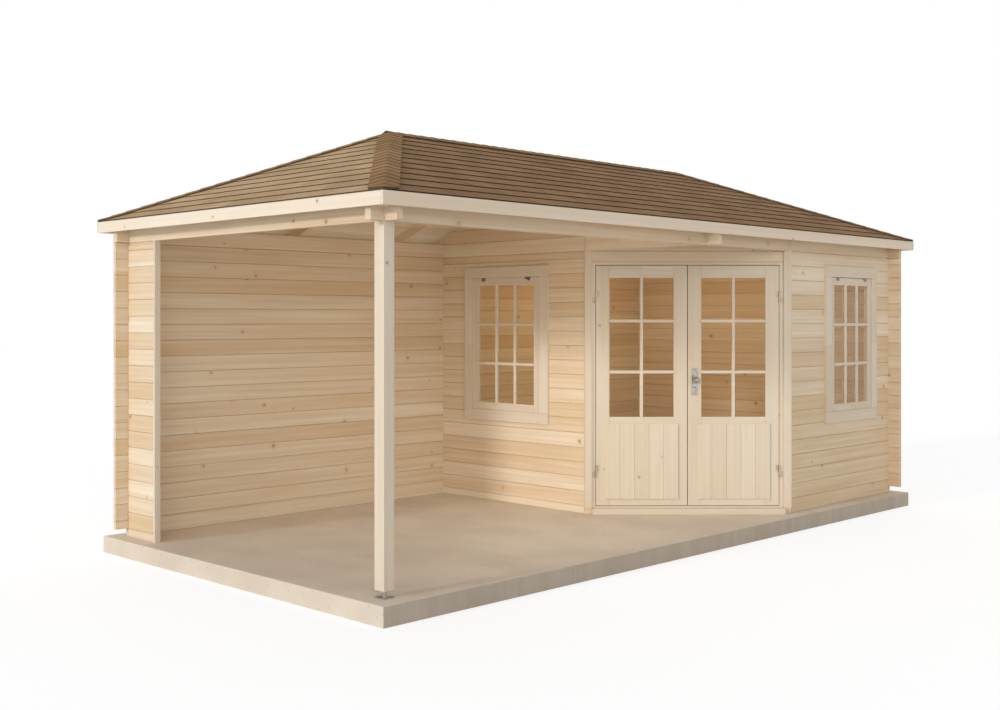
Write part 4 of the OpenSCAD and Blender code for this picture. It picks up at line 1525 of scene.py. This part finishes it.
@dataclass
class Window:
    """A top-hung window: casing, sash, three by three panes and two small hinges."""

    name: str
    outward: Vector
    across: Vector
    panes: int = 3
    sash_bar: float = 0.061
    casing_w: float = 0.088
    glass_set: float = 0.0103
    hinge_at: float = 0.24
    hinge_out: float = 0.004
    sash_lot: float = 3.0
    casing_lot: float = 8.0
    bars: GlazingBars = field(default_factory=GlazingBars)
    hinge: ButtHinge = field(default_factory=ButtHinge)

    def finish(self, part: str, half_open: float, joint: Joint, lot: float) -> Material:
        """Builds the finish of one of the window's frames.

        Args:
            part: The frame's name on the window.
            half_open: Half its opening, between the members that run through.
            joint: Which members those are.
            lot: The frame's own lot.

        Returns:
            The material.
        """
        low, high = node_box(self.name + "_sash")
        return FramedSpruce(f"{self.name}_{part}_wood", Grain.UPRIGHT, light=TRIM_LIGHT, dark=TRIM_DARK,
                            knot_size=TRIM_KNOT, centre=(low + high) / 2, across=self.across, half_open=half_open,
                            joint=joint, row_start=lot).build()

    def build(self, steel: Material) -> None:
        """Dresses the frames and adds the bars and hinges.

        Args:
            steel: The hinges' finish.
        """
        low, high = node_box(self.name + "_sash")
        width, height = abs((high - low).dot(self.across)), high.z - low.z
        pane_w, pane_h = width - 2 * self.sash_bar, height - 2 * self.sash_bar
        sash_wood = self.finish("sash", pane_w / 2, Joint.STILES_THROUGH, self.sash_lot)
        paint(sash_wood, self.name + "_sash")
        case_low, case_high = node_box(self.name + "_casing")
        case_half = (case_high.z - case_low.z) / 2 - self.casing_w
        paint(self.finish("casing", case_half, Joint.HEADS_THROUGH, self.casing_lot), self.name + "_casing")

        face = (low + high) / 2 + self.outward * abs((high - low).dot(self.outward)) / 2
        glass = face - self.outward * self.glass_set
        runs = self.bars.both_sides(
            sash_wood, self.across, self.outward, (pane_w, pane_h), glass, self.glass_set,
            (self.panes - 1, pane_h / self.panes, 0.0), (self.panes - 1, pane_w / self.panes))
        hand_over(join(self.name + "_bars", runs), Body.HOUSE, Slot.PLANED_WOOD)

        top, turn = face + UP * height / 2 + self.outward * self.hinge_out, turn_to(self.across, UP)
        places = [(top + self.across * side * self.hinge_at, turn) for side in (-1, 1)]
        hinges = set_fixings(self.name + "_hinges", self.hinge.shape(), steel, places)
        hand_over(hinges, Body.HOUSE, Slot.STEEL)


@dataclass
class DoorLeaf:
    """One glazed door leaf: framed wood, planted boards below, bars on the glass above."""

    body: Body
    lot: float
    seed: int
    hinge_gap: float = 0.0025
    leaf_w: float = 0.7128
    leaf_t: float = 0.040
    face: float = 0.0073
    stile_w: float = 0.105
    leaf_knot: float = 0.010
    boards: int = 5
    board_light: Colour = (0.80, 0.71, 0.575, 1.0)
    board_dark: Colour = (0.69, 0.565, 0.41, 1.0)
    board_knot: float = 0.012
    board_play: float = 0.0008
    panel_t: float = 0.012
    panel_set: float = -0.0003
    groove: float = 0.0025
    glass_lap: float = 0.010
    glass_set: float = 0.0103
    bar_heights: tuple[float, float] = (1.221, 1.620)
    bars: GlazingBars = field(default_factory=GlazingBars)

    @property
    def name(self) -> str:
        """The leaf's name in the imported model."""
        return self.body.value

    @property
    def half_open(self) -> float:
        """Half the width between the stiles."""
        return self.leaf_w / 2 - self.stile_w

    def place(self, aside: float, into: float, height: float) -> Vector:
        """Returns the point that far from the leaf's hinged edge, into its face and up."""
        along = self.hinge_gap + aside
        return DOOR.place(DOOR.span - along if self.body is Body.RIGHT_DOOR else along, self.face + into, height)

    def build(self) -> None:
        """Dresses the leaf and adds its boards and bars."""
        low, high = node_box(self.name + "_leaf")
        centre = self.place(self.leaf_w / 2, 0.0, (low.z + high.z) / 2)
        wood = FramedSpruce(self.name + "_wood", Grain.UPRIGHT_DOOR, light=TRIM_LIGHT, dark=TRIM_DARK,
                            knot_size=self.leaf_knot, centre=centre, across=DOOR.along, half_open=self.half_open,
                            row_start=self.lot).build()
        paint(wood, self.name + "_leaf")
        self.panel()
        self.glazing(wood)

    def panel(self) -> None:
        """Adds the row of upright boards below the glass."""
        low, high = node_box(self.name + "_panel")
        width = (high.x - low.x) / abs(DOOR.along.x) - self.panel_t * abs(DOOR.into.x / DOOR.along.x)
        height, pitch = high.z - low.z, width / self.boards
        board = extrude(board_profile(pitch - self.board_play, self.panel_t, self.groove), 0.0, height)
        start = self.place(self.leaf_w / 2, self.panel_set, low.z) + DOOR.along * width / 2
        wood = BoardSpruce(self.name + "_board_wood", Grain.UPRIGHT_DOOR, light=self.board_light,
                           dark=self.board_dark, knot_size=self.board_knot).build()
        boards = lay_rows(self.name + "_boards", board, wood, rows=self.boards, row_pitch=pitch,
                          column_pitch=2 * height, seed=self.seed, place=start, turn=turn_to(UP, -DOOR.along))
        hand_over(boards, self.body, Slot.DOOR_WOOD, self.name + "_panel")

    def glazing(self, wood: Material) -> None:
        """Adds the bars on the glass.

        Args:
            wood: Their finish.
        """
        low, high = node_box(self.name + "_glass")
        bottom, top = low.z + self.glass_lap, high.z - self.glass_lap
        glass = self.place(self.leaf_w / 2, self.glass_set, (bottom + top) / 2)
        above = sum(self.bar_heights) / 2 - glass.z
        step = self.bar_heights[1] - self.bar_heights[0]
        runs = self.bars.both_sides(wood, DOOR.along, -DOOR.into, (2 * self.half_open, top - bottom), glass,
                                    self.glass_set, (2, step, above), (1, step))
        hand_over(join(self.name + "_bars", runs), self.body, Slot.DOOR_WOOD)


@dataclass
class HandleFixings:
    """Screws at the ends of the handle plates and a lock barrel under each knob."""

    aside: float = 0.0525
    plate_t: float = 0.0053
    screw_r: float = 0.0042
    screw_rise: float = 0.0016
    screw_slot: float = 0.0008
    screw_at: float = 0.094
    barrel_r: float = 0.0085
    barrel_rise: float = 0.0022
    barrel_slot: float = 0.0012
    barrel_below: float = 0.045
    head_sides: int = 20
    head_taper: float = 0.86
    face_share: float = 0.84
    face_rise: float = 0.6

    def head(self, radius: float, rise: float, slot_w: float) -> BMesh:
        """Draws a round head with a slot across it.

        Args:
            radius: Its radius.
            rise: How far it stands up.
            slot_w: The slot's width.

        Returns:
            The head, which rises along Z.
        """
        bm = bmesh.new()
        bmesh.ops.create_cone(bm, cap_ends=True, segments=self.head_sides, radius1=radius,
                              radius2=radius * self.head_taper, depth=rise,
                              matrix=Matrix.Translation((0.0, 0.0, rise / 2)))
        face_w = radius * self.face_share
        for side in (-1, 1):
            place = Matrix.Translation((0.0, side * face_w / 2, rise))
            size = Matrix.Diagonal((radius, face_w - slot_w, rise * self.face_rise, 1.0))
            bmesh.ops.create_cube(bm, size=1.0, matrix=place @ size)
        return bm

    def build(self, leaf: DoorLeaf, steel: Material) -> Object:
        """Sets the fixings on the plates of both faces.

        Args:
            leaf: The leaf with the handles.
            steel: The finish.

        Returns:
            The fixings as one piece.
        """
        low, high = node_box("right_door_handles")
        middle = (low.z + high.z) / 2
        aside = leaf.leaf_w - self.aside
        sides = ((-self.plate_t, turn_to(DOOR.along, UP)), (leaf.leaf_t + self.plate_t, turn_to(-DOOR.along, UP)))
        screws = [(leaf.place(aside, into, middle + up), turn) for into, turn in sides
                  for up in (-self.screw_at, self.screw_at)]
        barrels = [(leaf.place(aside, into, middle - self.barrel_below), turn) for into, turn in sides]
        screw = self.head(self.screw_r, self.screw_rise, self.screw_slot)
        barrel = self.head(self.barrel_r, self.barrel_rise, self.barrel_slot)
        pieces = [set_fixings("plate_screws", screw, steel, screws),
                  set_fixings("lock_barrels", barrel, steel, barrels)]
        return hand_over(join("handle_fixings", pieces), leaf.body, Slot.STEEL)


@dataclass(frozen=True)
class Lamp:
    """A far soft lamp: where it stands round the house, its strength and how wide its disc is, in degrees."""

    name: str
    azimuth: float
    elevation: float
    strength: float
    softness: float

    def build(self) -> None:
        """Adds the lamp to the scene."""
        data = bpy.data.lights.new(self.name, "SUN")
        data.energy, data.angle = self.strength, math.radians(self.softness)
        round_z, up = math.radians(self.azimuth), math.radians(self.elevation)
        source = Vector((math.sin(round_z) * math.cos(up), -math.cos(round_z) * math.cos(up), math.sin(up)))
        lamp = put(self.name, data)
        lamp.rotation_euler = source.to_track_quat("Z", "Y").to_euler()
        lamp.visible_glossy = False


@dataclass(frozen=True)
class Glow:
    """A weak soft lamp inside the house, so that its rooms aren't black: its place, power and colour."""

    name: str
    place: Point3
    power: float
    colour: Point3
    radius: float = 0.4

    def build(self) -> None:
        """Adds the lamp to the scene."""
        data = bpy.data.lights.new(self.name, "POINT")
        data.energy, data.color, data.shadow_soft_size = self.power, self.colour, self.radius
        lamp = put(self.name, data)
        lamp.location = self.place
        lamp.visible_camera = lamp.visible_glossy = False


@dataclass
class Studio:
    """Camera, floor and plain soft light."""

    camera_at: Point3 = (-7.6115, -6.076, 1.633)
    heading: float = -42.03
    lens_mm: float = 43.81
    sensor_mm: float = 36.0
    shift: Point2 = (0.15, -0.0357)
    floor_half: float = 60.0
    key: Lamp = Lamp("key", azimuth=-95.0, elevation=13.0, strength=1.2, softness=7.0)
    front: Lamp = Lamp("front", azimuth=-50.0, elevation=6.0, strength=1.55, softness=70.0)
    back: Lamp = Lamp("back", azimuth=138.0, elevation=35.0, strength=0.6, softness=70.0)
    room: Glow = Glow("room", place=(1.65, 0.1, 1.75), power=18.5, colour=(1.0, 0.76, 0.48))
    veranda: Glow = Glow("veranda", place=(-0.9, -0.8, 1.35), power=11.0, colour=(1.0, 0.94, 0.85))
    sky: Colour = (0.98, 0.99, 1.0, 1.0)
    sky_strength: float = 0.42
    floor_colour: Colour = (0.94, 0.93, 0.91, 1.0)
    seen_floor: Colour = (0.4, 0.4, 0.4, 1.0)
    seen_floor_glow: float = 0.72

    def camera(self) -> None:
        """Sets the camera at the picture's viewing angle, level, with the frame shifted about the horizon."""
        data = bpy.data.cameras.new("camera")
        data.lens, data.sensor_width = self.lens_mm, self.sensor_mm
        data.shift_x, data.shift_y = self.shift
        data.clip_end = 4 * self.floor_half
        camera = put("camera", data)
        camera.location = self.camera_at
        camera.rotation_euler = (math.pi / 2, 0.0, math.radians(self.heading))
        bpy.context.scene.camera = camera

    @staticmethod
    def as_seen(g: Graph, lighting: Node, seen: Node) -> NodeSocket:
        """Parts what lights the house from what is seen.

        Args:
            g: The graph.
            lighting: The shader that lights the house.
            seen: The shader that the camera sees, straight or in metal and glass.

        Returns:
            The mix of the two.
        """
        path = g.add("ShaderNodeLightPath").outputs
        mirrored = g.math("MAXIMUM", path["Is Glossy Ray"], path["Is Transmission Ray"])
        factor = g.math("MAXIMUM", path["Is Camera Ray"], mirrored)
        return g.add("ShaderNodeMixShader", {0: factor, 1: lighting.outputs[0], 2: seen.outputs[0]}).outputs[0]

    def world(self) -> None:
        """Sets an even sky that lights softly and is seen as white."""
        world = bpy.data.worlds.new("studio")
        bpy.context.scene.world = world
        world.use_nodes = True
        world.node_tree.nodes.clear()
        g = Graph(world.node_tree)
        soft = g.add("ShaderNodeBackground", {"Color": self.sky, "Strength": self.sky_strength})
        white = g.add("ShaderNodeBackground", {"Color": WHITE, "Strength": 1.0})
        g.add("ShaderNodeOutputWorld", {"Surface": self.as_seen(g, soft, white)})

    def floor(self) -> None:
        """Lays a pale floor that is seen as white but for the house's shadow."""
        bm = bmesh.new()
        bmesh.ops.create_grid(bm, x_segments=1, y_segments=1, size=self.floor_half)
        floor = as_object("floor_plane", bm)
        material, g = new_material("pale_floor")
        matt = g.add("ShaderNodeBsdfDiffuse", {"Color": self.floor_colour})
        shade = g.add("ShaderNodeBsdfDiffuse", {"Color": self.seen_floor})
        lit = g.add("ShaderNodeEmission", {"Color": WHITE, "Strength": self.seen_floor_glow})
        pale = g.add("ShaderNodeAddShader", {0: shade.outputs[0], 1: lit.outputs[0]})
        g.cover(self.as_seen(g, matt, pale))
        floor.data.materials.append(material)

    def build(self) -> None:
        """Sets up the scene round the house."""
        bpy.context.scene.view_settings.view_transform = "Standard"
        self.camera()
        self.world()
        self.floor()
        for lamp in (self.key, self.front, self.back, self.room, self.veranda):
            lamp.build()


def main() -> None:
    """Builds and dresses the house, piece by piece."""
    logging.basicConfig(level=logging.INFO, format="%(name)s %(message)s")
    dark_steel = DARK_STEEL.build()
    LogWork().dress()
    Trim().dress()
    SillEnds().build()
    Slab().build()
    ShingleRoof().build()
    RoofBoarding().build()
    RoomFloor().build()
    paint(ClearGlass("clear_glass").build(), "window_glass", "left_door_glass", "right_door_glass")
    paint(STEEL.build(), "post_foot", "right_door_handles")
    paint(HINGE_STEEL.build(), "frame_hinges", "left_door_hinges", "right_door_hinges")
    Window("side_window", outward=Vector((-1.0, 0.0, 0.0)), across=Vector((0.0, -1.0, 0.0))).build(dark_steel)
    Window("front_window", outward=Vector((0.0, -1.0, 0.0)), across=Vector((1.0, 0.0, 0.0))).build(dark_steel)
    left_leaf = DoorLeaf(Body.LEFT_DOOR, lot=13.0, seed=80)
    right_leaf = DoorLeaf(Body.RIGHT_DOOR, lot=31.0, seed=81)
    left_leaf.build()
    right_leaf.build()
    HandleFixings().build(right_leaf, dark_steel)
    Studio().build()


if __name__ == "__main__":
    main()
